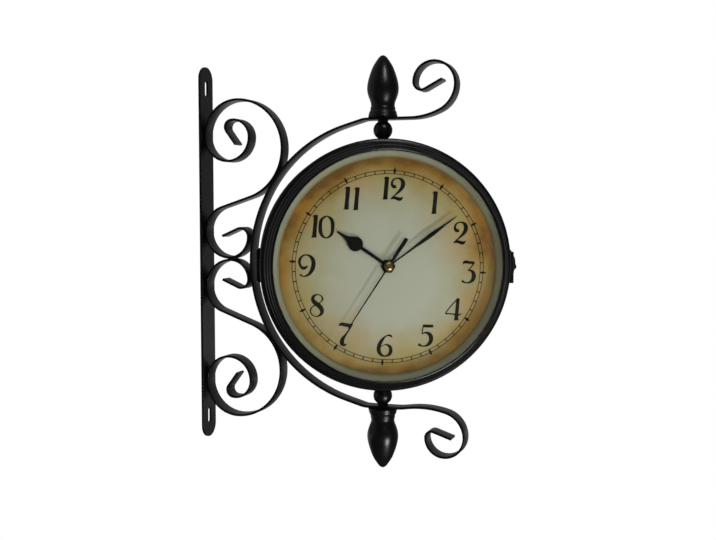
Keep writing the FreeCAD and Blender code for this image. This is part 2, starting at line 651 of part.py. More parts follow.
hour_length = HOUR_SHARE * dial_shown
minute_length = MINUTE_SHARE * dial_shown
second_length = SECOND_SHARE * dial_shown
hour_hand = hand(HOUR_LINE, hour_length, HOUR_BOSS, HOUR_TUBE, HOUR_RISE, HOUR_ANGLE)
minute_hand = hand(MINUTE_LINE, minute_length, MINUTE_BOSS, MINUTE_TUBE, MINUTE_RISE, MINUTE_ANGLE)
second_hand = hand(SECOND_LINE, second_length, SECOND_BOSS, SECOND_ARBOR, SECOND_RISE, SECOND_ANGLE)

# Both sides get the same glass, dial, movement and hands
one_side = {
    "glass": glass, "pale_ring": pale_ring, "dial": dial, "fixing_nut": nut,
    "housing": housing, "cover": cover, "circuit_board": board, "stator_coil": stator,
    "battery": battery, "battery_contacts": Part.makeCompound(contacts),
    "rotor": rotor_body, "intermediate_wheel": middle_wheel, "second_wheel": second_wheel,
    "third_wheel": third_wheel, "centre_wheel": minute_wheel, "motion_wheel": motion_wheel,
    "hour_wheel": hour_wheel, "setting_knob": knob_body,
    "hour_hand": hour_hand, "minute_hand": minute_hand, "second_hand": second_hand}
for name, piece in one_side.items():
    nodes["front_" + name] = in_case(piece)
    nodes["rear_" + name] = in_case(to_rear(piece))


def sector(inner, outer, back, front, half_height, middle_height, right):
    """Curved plate on the shell's side, right (1) or left (-1)."""
    tube = disc(outer, back, front).cut(disc(inner, back, front))
    keep = block(0.0, 2 * outer, back, front, middle_height - half_height, middle_height + half_height)
    plate_piece = tube.common(keep)
    if right < 0:
        plate_piece = plate_piece.mirror(V(0, 0, 0), V(1, 0, 0))
    return plate_piece


def upright(radius, low, high, sideways, depth):
    """Upright cylinder in case coordinates."""
    return Part.makeCylinder(radius, high - low, V(sideways, -depth, low), V(0, 0, 1))


# Hinge: two leaves whose knuckles interlock on one pin
leaf_outer = SHELL_RADIUS + LEAF_THICKNESS
hinge_gap = AXIAL_GAP
swing = HINGE_RADIUS + hinge_gap
front_start = SEAM_DEPTH + SEAM_GAP
front_end = front_start + LEAF_DEPTH
rear_end = SEAM_DEPTH - LEAF_DEPTH
front_leaf = sector(SHELL_RADIUS, leaf_outer, front_start, front_end, HINGE_HALF, 0.0, -1)
front_leaf = front_leaf.fuse(upright(HINGE_RADIUS, -KNUCKLE_HALF, KNUCKLE_HALF, -hinge_at, SEAM_DEPTH))
rear_leaf = sector(SHELL_RADIUS, leaf_outer, rear_end, SEAM_DEPTH, HINGE_HALF, 0.0, -1)
knuckle_end = KNUCKLE_HALF + hinge_gap
rear_leaf = rear_leaf.cut(upright(swing, -knuckle_end, knuckle_end, -hinge_at, SEAM_DEPTH))
for low, high in ((knuckle_end, HINGE_HALF), (-HINGE_HALF, -knuckle_end)):
    rear_leaf = rear_leaf.fuse(upright(HINGE_RADIUS, low, high, -hinge_at, SEAM_DEPTH))
    front_leaf = front_leaf.cut(upright(swing, low - hinge_gap, high, -hinge_at, SEAM_DEPTH))
pin_bore = upright(PIN_RADIUS + PIN_FIT, -HINGE_HALF, HINGE_HALF, -hinge_at, SEAM_DEPTH)
hinge_pin = upright(PIN_RADIUS, -HINGE_HALF, HINGE_HALF, -hinge_at, SEAM_DEPTH)
for low, high in ((HINGE_HALF, HINGE_HALF + PIN_RADIUS), (-HINGE_HALF - PIN_RADIUS, -HINGE_HALF)):
    hinge_pin = hinge_pin.fuse(upright(PIN_HEAD, low, high, -hinge_at, SEAM_DEPTH))
nodes["front_hinge_leaf"] = in_case(front_leaf.cut(pin_bore).removeSplitter())
nodes["rear_hinge_leaf"] = in_case(rear_leaf.cut(pin_bore).removeSplitter())
nodes["hinge_pin"] = in_case(hinge_pin)

# Latch plate on the front shell with two lugs and the hasp's pin
latch_top = -LATCH_DROP + LATCH_HALF
latch_low = -LATCH_DROP - LATCH_HALF
latch_plate = sector(SHELL_RADIUS, leaf_outer, front_start, front_end, LATCH_HALF, -LATCH_DROP, 1)
web_back = hasp_depth - HASP_WEB / 2
hasp_knuckle = (-LATCH_DROP - HASP_KNUCKLE_HALF, -LATCH_DROP + HASP_KNUCKLE_HALF)
for low, high in ((latch_low, hasp_knuckle[0] - hinge_gap), (hasp_knuckle[1] + hinge_gap, latch_top)):
    lug = upright(HASP_BARREL, low, high, hasp_at, hasp_depth)
    web = block(SHELL_RADIUS - ROOT_DEPTH, hasp_at, web_back, web_back + HASP_WEB, low, high)
    latch_plate = latch_plate.multiFuse([lug, web])
hasp_pin = upright(PIN_RADIUS, latch_low, latch_top, hasp_at, hasp_depth)
latch_plate = latch_plate.fuse(hasp_pin).cut(disc(SHELL_RADIUS, 0.0, LIP_DEPTH))
nodes["latch_plate"] = in_case(latch_plate.removeSplitter())

# Hasp: slotted plate that swings outwards on the latch plate's pin
hasp_face = hasp_at + HASP_OFFSET - HASP_THICKNESS / 2
hasp_back = hasp_depth - HASP_REACH
hasp_front = hasp_depth - HASP_BARREL - hinge_gap
hasp_top = hasp_face + HASP_THICKNESS
hasp = block(hasp_face, hasp_top, hasp_back, hasp_front, latch_low, latch_top)
hasp = hasp.fuse(block(hasp_face, hasp_top, hasp_front, hasp_depth, *hasp_knuckle))
hasp = hasp.fuse(upright(HASP_BARREL, *hasp_knuckle, hasp_at, hasp_depth))
hasp = hasp.cut(upright(PIN_RADIUS + PIN_FIT, *hasp_knuckle, hasp_at, hasp_depth))
slot_back = hasp_depth - SLOT_FAR
slot_front = hasp_depth - SLOT_NEAR
slot_z = (-LATCH_DROP - STUD_SLOT_HALF, -LATCH_DROP + STUD_SLOT_HALF)
hasp = hasp.cut(block(hasp_face, hasp_top, slot_back, slot_front, *slot_z))
nodes["latch_hasp"] = in_case(hasp.removeSplitter())

# Catch on the rear shell: curved plate and round-ended stud
stud_depth = hasp_depth - STUD_REACH
catch = sector(SHELL_RADIUS, leaf_outer, rear_end, SEAM_DEPTH, LATCH_HALF, -LATCH_DROP, 1)
stud_root = V(SHELL_RADIUS - ROOT_DEPTH, -stud_depth, -LATCH_DROP)
stud_top = V(stud_tip - STUD_RADIUS, -stud_depth, -LATCH_DROP)
stud = Part.makeCylinder(STUD_RADIUS, stud_top.x - stud_root.x, stud_root, V(1, 0, 0))
stud = stud.fuse(Part.makeSphere(STUD_RADIUS, stud_top))
catch = catch.fuse(stud).cut(disc(SHELL_RADIUS, -LIP_DEPTH, LIP_DEPTH))
nodes["latch_catch"] = in_case(catch.removeSplitter())

# One file for each piece
os.makedirs("parts", exist_ok=True)
for name, shape in nodes.items():
    shape.exportStep("parts/" + name + ".step")
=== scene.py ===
"""Double-sided wall clock in a scrolled bracket: the looks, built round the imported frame."""

import json
import logging
import math
from dataclasses import dataclass, field
from enum import Enum
from typing import Callable, Sequence

import bmesh
import bpy
import numpy as np
from mathutils import Matrix, Vector

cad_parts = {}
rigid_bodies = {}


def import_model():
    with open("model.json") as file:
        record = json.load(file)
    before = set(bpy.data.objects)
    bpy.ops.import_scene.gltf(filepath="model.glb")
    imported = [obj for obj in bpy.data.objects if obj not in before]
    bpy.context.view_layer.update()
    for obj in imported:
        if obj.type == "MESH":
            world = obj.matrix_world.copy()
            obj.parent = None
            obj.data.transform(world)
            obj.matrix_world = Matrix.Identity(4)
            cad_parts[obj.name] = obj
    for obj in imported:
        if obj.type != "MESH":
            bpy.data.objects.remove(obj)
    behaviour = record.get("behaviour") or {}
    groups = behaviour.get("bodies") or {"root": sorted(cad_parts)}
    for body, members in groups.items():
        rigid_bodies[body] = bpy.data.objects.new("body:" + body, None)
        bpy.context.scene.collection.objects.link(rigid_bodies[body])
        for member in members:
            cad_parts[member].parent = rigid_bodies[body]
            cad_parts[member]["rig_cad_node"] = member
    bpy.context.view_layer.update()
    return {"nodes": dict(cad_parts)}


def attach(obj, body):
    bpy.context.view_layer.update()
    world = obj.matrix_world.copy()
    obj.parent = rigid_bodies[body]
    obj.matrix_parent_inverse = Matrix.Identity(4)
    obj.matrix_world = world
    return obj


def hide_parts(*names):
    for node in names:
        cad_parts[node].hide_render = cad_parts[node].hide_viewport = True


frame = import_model()

LOG = logging.getLogger("wall_clock")
MM = 0.001
IMAGE_WIDTH = 716
SHARP_ANGLE = math.radians(32.0)
MERGE_DISTANCE = 1e-7
SAME_SPOT = 1e-6
TINY = 1e-9
FULL_TURN = 2.0 * math.pi
WHITE = (1.0, 1.0, 1.0)

Array = np.ndarray
Shape = tuple[Array, Array]
Pair = tuple[float, float]
Point = tuple[float, float, float]
Colour = tuple[float, float, float]
Span = tuple[float, float, float, float]
Socket = bpy.types.NodeSocket
Sockets = dict[str, Socket]


class Side(Enum):
    """The two faces of the clock, by the prefix of their pieces."""

    FRONT = "front"
    REAR = "rear"

    @property
    def body(self) -> str:
        """Body that carries this face's still pieces."""
        return "front_half" if self is Side.FRONT else "case"

    @property
    def sign(self) -> float:
        """Direction of the face along the case's own axis."""
        return 1.0 if self is Side.FRONT else -1.0


class Slot(Enum):
    """Material slots of the record."""

    PAINT = "black_paint"
    STEEL = "steel"
    BRASS = "brass"
    GLASS = "clear_glass"
    RING = "cream_ring"
    DIAL = "aged_dial"
    MOVEMENT = "movement_plastic"
    WHEEL = "wheel_plastic"
    BATTERY = "battery_sleeve"
    BOARD = "board_green"
    COIL = "coil_copper"
    HAND = "hand_black"


def srgb(red: int, green: int, blue: int) -> Colour:
    """Linear colour of an 8-bit screen colour: straight near black, a power of the share above."""
    share = np.array([red, green, blue]) / 255.0
    return tuple(np.where(share <= 0.04045, share / 12.92, ((share + 0.055) / 1.055) ** 2.4).tolist())


@dataclass(frozen=True)
class CaseFrame:
    """Where the case rests: pivot axis, height of its middle and turn about the upright axis."""

    pivot_x: float = 192.0
    middle_z: float = -7.0
    yaw: float = math.radians(25.4)

    def place(self, points: Array, side: Side = Side.FRONT) -> Array:
        """Case coordinates (sideways, towards the dial, up) in mm to the row frame in metres.

        The depth axis is turned to -Y, a rear piece is turned half round, then all turn by the yaw.

        Args:
            points: Array whose last axis holds the three coordinates.
            side: Face that the piece belongs to.

        Returns:
            An array of the same shape.
        """
        x = points[..., 0] * side.sign
        y = -points[..., 1] * side.sign
        cos, sin = math.cos(self.yaw), math.sin(self.yaw)
        placed = [self.pivot_x + x * cos - y * sin, x * sin + y * cos, points[..., 2] + self.middle_z]
        return np.stack(placed, axis=-1) * MM

    def at_pivot(self, points: Array) -> Array:
        """Bracket coordinates about the pivot in mm to the row frame in metres."""
        return (points + np.array([self.pivot_x, 0.0, self.middle_z])) * MM


CASE = CaseFrame()


# Curves and surfaces


def arc(start: Sequence[float], through: Sequence[float], end: Sequence[float], count: int) -> Array:
    """Points on the circle through three points, from the first to the last.

    The centre is where the perpendicular bisectors meet; the angle runs evenly past the middle point.

    Args:
        start: First point in the plane.
        through: A point on the way.
        end: Last point.
        count: Number of points.

    Returns:
        Array of (count, 2).
    """
    a, b, c = (np.asarray(p, float) for p in (start, through, end))
    matrix = 2.0 * np.array([b - a, c - a])
    centre = np.linalg.solve(matrix, np.array([b @ b - a @ a, c @ c - a @ a]))
    angles = np.unwrap([math.atan2(*(p - centre)[::-1]) for p in (a, b, c)])
    turn = np.linspace(angles[0], angles[2], count)
    return centre + np.linalg.norm(a - centre) * np.stack([np.cos(turn), np.sin(turn)], axis=-1)


def spline(points: Array, count: int, closed: bool = False) -> Array:
    """Smooth cubic curve through points, at even steps of chord length.

    Second derivatives solve the usual three-term system; a closed curve first runs on past both ends.

    Args:
        points: Array of (n, k): places and anything else that runs along, such as a width.
        count: Number of points to give back.
        closed: Whether the curve returns to its first point.

    Returns:
        Array of (count, k).
    """
    knots = np.asarray(points, float)
    wrap = 3 if closed else 0
    if closed:
        knots = np.concatenate([knots[-wrap:], knots, knots[:wrap + 1]])
    steps = np.maximum(np.linalg.norm(np.diff(knots[:, :2], axis=0), axis=1), TINY)
    at = np.concatenate([[0.0], np.cumsum(steps)])
    n = len(knots)
    system = np.eye(n)
    right = np.zeros_like(knots)
    inner = np.arange(1, n - 1)
    system[inner, inner - 1] = steps[:-1]
    system[inner, inner] = 2.0 * (steps[:-1] + steps[1:])
    system[inner, inner + 1] = steps[1:]
    slopes = np.diff(knots, axis=0) / steps[:, None]
    right[1:-1] = 6.0 * np.diff(slopes, axis=0)
    bend = np.linalg.solve(system, right)
    where = np.linspace(at[wrap], at[n - 1 - wrap], count)
    span = np.clip(np.searchsorted(at, where, side="right") - 1, 0, n - 2)
    h = steps[span][:, None]
    t = (where - at[span])[:, None]
    first = slopes[span] - h * (2.0 * bend[span] + bend[span + 1]) / 6.0
    third = (bend[span + 1] - bend[span]) / (6.0 * h)
    return knots[span] + t * (first + t * (bend[span] / 2.0 + t * third))


def link(name: str, data: bpy.types.ID) -> bpy.types.Object:
    """A new object at the origin, linked to the scene.

    Args:
        name: Name of the object.
        data: Its mesh, light or camera.

    Returns:
        The object.
    """
    made = bpy.data.objects.new(name, data)
    bpy.context.scene.collection.objects.link(made)
    return made


def smooth(mesh: bpy.types.Mesh, sharp: float) -> None:
    """Smooth shading, with edges sharper than an angle left crisp."""
    mesh.polygons.foreach_set("use_smooth", np.ones(len(mesh.polygons), bool))
    mesh.set_sharp_from_angle(angle=sharp)


def mesh_piece(name: str, verts: Array, faces: Array, sharp: float = SHARP_ANGLE) -> bpy.types.Object:
    """A mesh object at the origin from arrays, with doubles merged and faces turned outwards.

    Args:
        name: Name of the piece.
        verts: Array of (n, 3), in metres.
        faces: Array of (m, 4) corner numbers.
        sharp: Edges sharper than this angle stay crisp.

    Returns:
        The object, linked to the scene.
    """
    mesh = bpy.data.meshes.new(name)
    mesh.from_pydata(verts.tolist(), [], faces.tolist())
    work = bmesh.new()
    work.from_mesh(mesh)
    bmesh.ops.remove_doubles(work, verts=work.verts, dist=MERGE_DISTANCE)
    bmesh.ops.dissolve_degenerate(work, edges=work.edges, dist=MERGE_DISTANCE)
    bmesh.ops.recalc_face_normals(work, faces=work.faces)
    work.to_mesh(mesh)
    work.free()
    smooth(mesh, sharp)
    return link(name, mesh)


def grid_faces(rows: int, columns: int, close_rows: bool, close_columns: bool) -> Array:
    """Corner numbers of the four-sided faces of a grid.

    Args:
        rows: Number of rows of points.
        columns: Number of points in a row.
        close_rows: Whether the last row joins the first.
        close_columns: Whether each row's last point joins its first.

    Returns:
        Array of (faces, 4).
    """
    i = np.arange(rows if close_rows else rows - 1)[:, None]
    j = np.arange(columns if close_columns else columns - 1)[None, :]
    i2, j2 = (i + 1) % rows, (j + 1) % columns
    corners = np.broadcast_arrays(i * columns + j, i * columns + j2, i2 * columns + j2, i2 * columns + j)
    return np.stack(corners, axis=-1).reshape(-1, 4)


def join(shapes: Sequence[Shape]) -> Shape:
    """Several shapes as one: each one's corner numbers move on by the points before it.

    Args:
        shapes: Points and faces of each shape.

    Returns:
        Points and faces.
    """
    shifts = np.cumsum([0] + [len(verts) for verts, _ in shapes[:-1]])
    verts = np.concatenate([verts for verts, _ in shapes])
    return verts, np.concatenate([faces + shift for (_, faces), shift in zip(shapes, shifts)])


def lathe(profile: Array, segments: int) -> Shape:
    """A closed (radius, depth) profile turned about the dial's axis, in case coordinates.

    A point is (radius cos a, depth, radius sin a) for the angle a of its column.

    Args:
        profile: Array of (n, 2), a closed ring of points.
        segments: Number of steps of the full turn.

    Returns:
        Points and faces.
    """
    angle = np.linspace(0.0, FULL_TURN, segments, endpoint=False)
    radius, depth = profile[:, :1], profile[:, 1:]
    grid = np.stack([radius * np.cos(angle), depth + 0.0 * angle, radius * np.sin(angle)], axis=-1)
    return grid.reshape(-1, 3), grid_faces(len(profile), segments, True, True)


def upright_lathe(profile: Array, segments: int) -> Shape:
    """A (radius, height) profile, from the axis round to the axis, turned about the upright pivot axis."""
    verts, faces = lathe(profile, segments)
    return verts[:, [0, 2, 1]], faces


def loft(rings: Array) -> Shape:
    """A tube through closed rings of points, its two ends drawn in to their middles.

    Args:
        rings: Array of (rings, points, 3).

    Returns:
        Points and faces.
    """
    ends = [np.broadcast_to(ring.mean(axis=0), ring.shape)[None] for ring in (rings[0], rings[-1])]
    grid = np.concatenate([ends[0], rings, ends[1]])
    return grid.reshape(-1, 3), grid_faces(grid.shape[0], grid.shape[1], False, True)


def rounded_section(half_thick: float, half_wide: float, corner: float, steps: int = 4) -> Array:
    """Outline of a flat bar's section with rounded corners.

    Each corner is a quarter circle whose middle is set in by the corner's radius.

    Args:
        half_thick: Half of the thickness.
        half_wide: Half of the width.
        corner: Radius of the corners.
        steps: Steps of each quarter circle.

    Returns:
        Array of (points, 2), once round.
    """
    quarter = np.linspace(0.0, math.pi / 2, steps + 1)
    turns = (np.arange(4) * math.pi / 2)[:, None] + quarter
    signs = np.array([[1, 1], [-1, 1], [-1, -1], [1, -1]], float)
    middle = signs * np.array([half_thick - corner, half_wide - corner])
    ring = middle[:, None, :] + corner * np.stack([np.cos(turns), np.sin(turns)], axis=-1)
    return ring.reshape(-1, 2)


# Shader helpers


class Shader:
    """A node tree with short calls for adding and joining nodes."""

    def __init__(self, tree: bpy.types.NodeTree) -> None:
        """Keeps the tree that the calls work on."""
        self.tree = tree

    @classmethod
    def empty(cls, block: bpy.types.ID) -> "Shader":
        """Calls on the emptied node tree of a new material or world.

        Args:
            block: The material or world.

        Returns:
            The calls.
        """
        block.use_nodes = True
        block.node_tree.nodes.clear()
        return cls(block.node_tree)

    def add(self, kind: str, settings: dict[str, object] | None = None, *ordered: object,
            **named: object) -> bpy.types.Node:
        """A node with properties and sockets set.

        Args:
            kind: Blender's name of the node type.
            settings: Properties of the node.
            ordered: What its first sockets take, in their order.
            named: What other sockets take, by name with _ for a blank.

        Returns:
            The node.
        """
        node = self.tree.nodes.new(kind)
        for key, value in (settings or {}).items():
            setattr(node, key, value)
        for socket, value in zip(node.inputs, ordered):
            self.feed(socket, value)
        for key, value in named.items():
            self.feed(node.inputs[key.replace("_", " ")], value)
        return node

    def feed(self, socket: Socket, value: object) -> None:
        """Joins an output to a socket, or sets the socket's own value.

        Args:
            socket: Socket to fill.
            value: An output, a number, a vector or a colour.
        """
        if isinstance(value, Socket):
            self.tree.links.new(value, socket)
        else:
            socket.default_value = (*value, 1.0) if socket.type == "RGBA" else value

    def mix(self, share: object, first: object, second: object) -> Socket:
        """Colour between two colours.

        Args:
            share: Share of the second colour.
            first: First colour or output.
            second: Second colour or output.

        Returns:
            The colour output.
        """
        node = self.add("ShaderNodeMix", {"data_type": "RGBA"})
        for index, value in ((0, share), (6, first), (7, second)):
            self.feed(node.inputs[index], value)
        return node.outputs[2]

    def either(self, share: Socket, first: Socket, second: Socket) -> Socket:
        """Two shaders by the share of the second."""
        return self.add("ShaderNodeMixShader", None, share, first, second).outputs[0]

    def math(self, operation: str, first: object, second: object = 0.0) -> Socket:
        """Result of an operation on two values."""
        return self.add("ShaderNodeMath", {"operation": operation}, first, second).outputs[0]

    def measure(self, operation: str, *vectors: object) -> Socket:
        """Length of a vector, or dot product of two."""
        return self.add("ShaderNodeVectorMath", {"operation": operation}, *vectors).outputs["Value"]

    def axes(self, vector: Socket) -> Sequence[Socket]:
        """The three coordinates of a vector."""
        return self.add("ShaderNodeSeparateXYZ", None, vector).outputs

    def noise(self, vector: object, scale: object, detail: float, rough: float) -> Socket:
        """Grey noise over a vector."""
        return self.add("ShaderNodeTexNoise", Vector=vector, Scale=scale, Detail=detail, Roughness=rough).outputs[0]

    def spread(self, value: object, low: float, high: float, to_low: float = 0.0, to_high: float = 1.0) -> Socket:
        """A value's range from low to high moved to another range, held at its ends."""
        return self.add("ShaderNodeMapRange", {"clamp": True}, value, low, high, to_low, to_high).outputs[0]

    def ramp(self, value: object, stops: Sequence[tuple[float, Colour]]) -> Socket:
        """Colours along a value.

        Args:
            value: Output to read, from 0 to 1.
            stops: Places and their colours.

        Returns:
            The colour output.
        """
        node = self.add("ShaderNodeValToRGB", None, value)
        points = node.color_ramp.elements
        while len(points) < len(stops):
            points.new(0.5)
        for point, (place, colour) in zip(points, stops):
            point.position = place
            point.color = (*colour, 1.0)
        return node.outputs[0]

    def bumped(self, height: Socket, strength: float, depth: float, **values: object) -> Socket:
        """A surface whose bump follows a height, or a flat one where the bump has no strength.

        Args:
            height: Height from 0 to 1.
            strength: Strength of the bump.
            depth: What a height of 1 is in metres.
            values: What other sockets of the surface take.

        Returns:
            The shader output.
        """
        if strength:
            bump = self.add("ShaderNodeBump", Strength=strength, Distance=depth, Height=height)
            values["Normal"] = bump.outputs[0]
        return self.add("ShaderNodeBsdfPrincipled", **values).outputs[0]

    def group(self, name: str, fill: Callable[["Shader", Sockets], Sockets], **values: object) -> Sockets:
        """Outputs of a shared node group, which is filled on its first use.

        Args:
            name: Name of the group.
            fill: Adds the group's nodes to its inputs and gives back its outputs.
            values: What its inputs take, by name with _ for a blank.

        Returns:
            The outputs by name.
        """
        tree = bpy.data.node_groups.get(name)
        if not tree:
            tree = bpy.data.node_groups.new(name, "ShaderNodeTree")
            for label in values:
                kind = "NodeSocketVector" if label == "Vector" else "NodeSocketFloat"
                tree.interface.new_socket(name=label.replace("_", " "), in_out="INPUT", socket_type=kind)
            inside = Shader(tree)
            results = fill(inside, {socket.name: socket for socket in inside.add("NodeGroupInput").outputs})
            for label in results:
                tree.interface.new_socket(name=label, in_out="OUTPUT", socket_type="NodeSocketFloat")
            inside.add("NodeGroupOutput", None, *results.values())
        node = self.add("ShaderNodeGroup", {"node_tree": tree}, **values)
        return {socket.name: socket for socket in node.outputs}


@dataclass(frozen=True)
class Cloud:
    """Noise whose values between two levels are moved to a range of their own."""

    scale: float
    detail: float
    rough: float
    levels: Pair
    to: Pair = (0.0, 1.0)
    shift: Point = (0.0, 0.0, 0.0)

    def read(self, shader: Shader, vector: Socket) -> Socket:
        """The cloud's value over a vector, moved where the cloud has a shift.

        Args:
            shader: Calls on the tree.
            vector: Vector to read it over.

        Returns:
            The value output.
        """
        if any(self.shift):
            vector = shader.add("ShaderNodeMapping", Vector=vector, Location=self.shift).outputs[0]
        return shader.spread(shader.noise(vector, self.scale, self.detail, self.rough), *self.levels, *self.to)


PATCH_LEVELS = (0.35, 0.68)
LYING_FROM = 0.35
FLECKS = Cloud(260.0, 5.0, 0.7, (0.38, 0.72))


def skin_nodes(shader: Shader, given: Sockets) -> Sockets:
    """Uneven sprayed skin: patches read the vector at a coarse scale, the orange peel at a fine one.

    Args:
        shader: Calls on the group's tree.
        given: The group's inputs.

    Returns:
        The group's outputs.
    """
    coarse = shader.noise(given["Vector"], given["Patch Scale"], 3.0, 0.6)
    fine = shader.noise(given["Vector"], given["Peel Scale"], 2.0, 0.5)
    return {"Patch": shader.spread(coarse, *PATCH_LEVELS), "Peel": fine}


def dust_nodes(shader: Shader, given: Sockets) -> Sockets:
    """Dust on faces that look up: the upward part of the normal, held above a start, times noise and amount.

    Args:
        shader: Calls on the group's tree.
        given: The group's inputs.

    Returns:
        The group's outputs.
    """
    normal = shader.add("ShaderNodeNewGeometry").outputs["Normal"]
    lying = shader.spread(shader.axes(normal)[2], LYING_FROM, 1.0)
    flecks = shader.math("MULTIPLY", lying, FLECKS.read(shader, given["Vector"]))
    return {"Mask": shader.math("MULTIPLY", flecks, given["Amount"])}


def case_vector(shader: Shader, vector: Socket) -> Socket:
    """Object coordinates turned and moved to the case's own axes."""
    middle = (CASE.pivot_x * MM, 0.0, CASE.middle_z * MM)
    return shader.add("ShaderNodeMapping", {"vector_type": "TEXTURE"}, Vector=vector, Location=middle,
                      Rotation=(0.0, 0.0, CASE.yaw)).outputs[0]


def dial_radius(shader: Shader, local: Socket) -> Socket:
    """Distance from the dial's axis: the length of the vector without its depth."""
    flat = shader.add("ShaderNodeVectorMath", {"operation": "MULTIPLY"}, local, (1.0, 0.0, 1.0))
    return shader.measure("LENGTH", flat.outputs[0])


# Finishes


@dataclass(frozen=True)
class Finish:
    """A named surface: its slot and the way to build its material."""

    name: str
    slot: Slot

    def material(self) -> bpy.types.Material:
        """The material, built on first use.

        Returns:
            The material.
        """
        made = bpy.data.materials.get(self.name)
        if not made:
            made = bpy.data.materials.new(self.name)
            shader = Shader.empty(made)
            vector = shader.add("ShaderNodeTexCoord").outputs["Object"]
            shader.add("ShaderNodeOutputMaterial", Surface=self.surface(shader, vector))
        return made

    def surface(self, shader: Shader, vector: Socket) -> Socket:
        """Adds the finish's nodes over the object coordinates and gives back its shader output."""
        raise NotImplementedError

    def dress(self, piece: bpy.types.Object) -> None:
        """Gives a piece this finish.

        Args:
            piece: Mesh to dress.
        """
        piece.data.materials.clear()
        piece.data.materials.append(self.material())


@dataclass(frozen=True)
class SkinFinish(Finish):
    """A skin with soft patches of a second tone and a fine peel."""

    colour: Colour
    patch: Colour
    rough: Pair = (0.24, 0.36)
    rough_by: tuple[str, float, float] = ("Patch", 0.0, 1.0)
    patch_scale: float = 26.0
    peel_scale: float = 1100.0
    peel: float = 0.06
    peel_depth: float = 0.0003
    metallic: float = 0.0
    shine: float = 0.5
    coat: float = 0.0

    def tone(self, shader: Shader, vector: Socket, patch: Socket) -> Socket:
        """Colour between the two tones, by the patches."""
        return shader.mix(patch, self.colour, self.patch)

    def surface(self, shader: Shader, vector: Socket) -> Socket:
        """Patches sway colour and roughness, the peel makes the bump.

        Args:
            shader: Calls on the material's tree.
            vector: Object coordinates.

        Returns:
            The shader output.
        """
        skin = shader.group("sprayed_skin", skin_nodes, Vector=vector, Patch_Scale=self.patch_scale,
                            Peel_Scale=self.peel_scale)
        mask, low, high = self.rough_by
        return shader.bumped(skin["Peel"], self.peel, self.peel_depth, Metallic=self.metallic,
                             Base_Color=self.tone(shader, vector, skin["Patch"]), Specular_IOR_Level=self.shine,
                             Roughness=shader.spread(skin[mask], low, high, *self.rough), Coat_Weight=self.coat)


@dataclass(frozen=True)
class PaintFinish(SkinFinish):
    """Sprayed satin paint with orange peel and a little dust on top."""

    dust: Colour = srgb(76, 72, 66)
    dust_amount: float = 0.07

    def tone(self, shader: Shader, vector: Socket, patch: Socket) -> Socket:
        """The patchy paint with dust over it."""
        dust = shader.group("lying_dust", dust_nodes, Vector=vector, Amount=self.dust_amount)
        return shader.mix(dust["Mask"], super().tone(shader, vector, patch), self.dust)


@dataclass(frozen=True)
class MetalFinish(SkinFinish):
    """Bare metal with tarnish patches and fine turning marks."""

    rough: Pair = (0.22, 0.42)
    patch_scale: float = 240.0
    peel_scale: float = 2600.0
    peel: float = 0.05
    peel_depth: float = 0.0002
    metallic: float = 1.0


@dataclass(frozen=True)
class MouldedFinish(SkinFinish):
    """Moulded plastic, whose fine spark-eroded grain sways the roughness too."""

    rough: Pair = (0.39, 0.53)
    rough_by: tuple[str, float, float] = ("Peel", 0.3, 0.7)
    patch_scale: float = 70.0
    peel_scale: float = 1800.0
    peel: float = 0.12
    peel_depth: float = 0.0002


@dataclass(frozen=True)
class RingFinish(SkinFinish):
    """Pale paint, with a painted shade that darkens and browns it towards the dial, and faint stains."""

    outer: Colour = srgb(142, 140, 120)
    rough: Pair = (0.4, 0.55)
    patch_scale: float = 30.0
    peel: float = 0.04
    reach: Pair = (0.1012, 0.1066)
    outer_from: float = 0.45
    stain: float = 0.35

    def tone(self, shader: Shader, vector: Socket, patch: Socket) -> Socket:
        """The distance from the axis picks the tone, a painted shade that grows darker and browner towards the dial,
        and the patches stain it.

        Args:
            shader: Calls on the material's tree.
            vector: Object coordinates.
            patch: Mask of the patches.

        Returns:
            The colour output.
        """
        # Painted shade: the tone is darkest and brownest at the dial's edge and pales outwards to the ring's own
        # colour.
        share = shader.spread(dial_radius(shader, case_vector(shader, vector)), *self.reach)
        tone = shader.ramp(share, ((0.0, self.colour), (self.outer_from, self.outer)))
        return shader.mix(shader.math("MULTIPLY", patch, self.stain), tone, self.patch)


@dataclass(frozen=True)
class GlassFinish(Finish):
    """Clear flat glass that lets lamp light through to the dial."""

    tint: Colour
    bend: float = 1.45
    roughness: float = 0.02

    def surface(self, shader: Shader, vector: Socket) -> Socket:
        """A clear pane for the eye, open to the rays that carry light from lamps.

        Args:
            shader: Calls on the material's tree.
            vector: Object coordinates, not used.

        Returns:
            The shader output.
        """
        pane = shader.add("ShaderNodeBsdfPrincipled", Base_Color=self.tint, Roughness=self.roughness, IOR=self.bend,
                          Transmission_Weight=1.0)
        path = shader.add("ShaderNodeLightPath").outputs
        open_ray = shader.math("MAXIMUM", path["Is Shadow Ray"], path["Is Diffuse Ray"])
        through = shader.add("ShaderNodeBsdfTransparent", Color=self.tint)
        return shader.either(open_ray, pane.outputs[0], through.outputs[0])


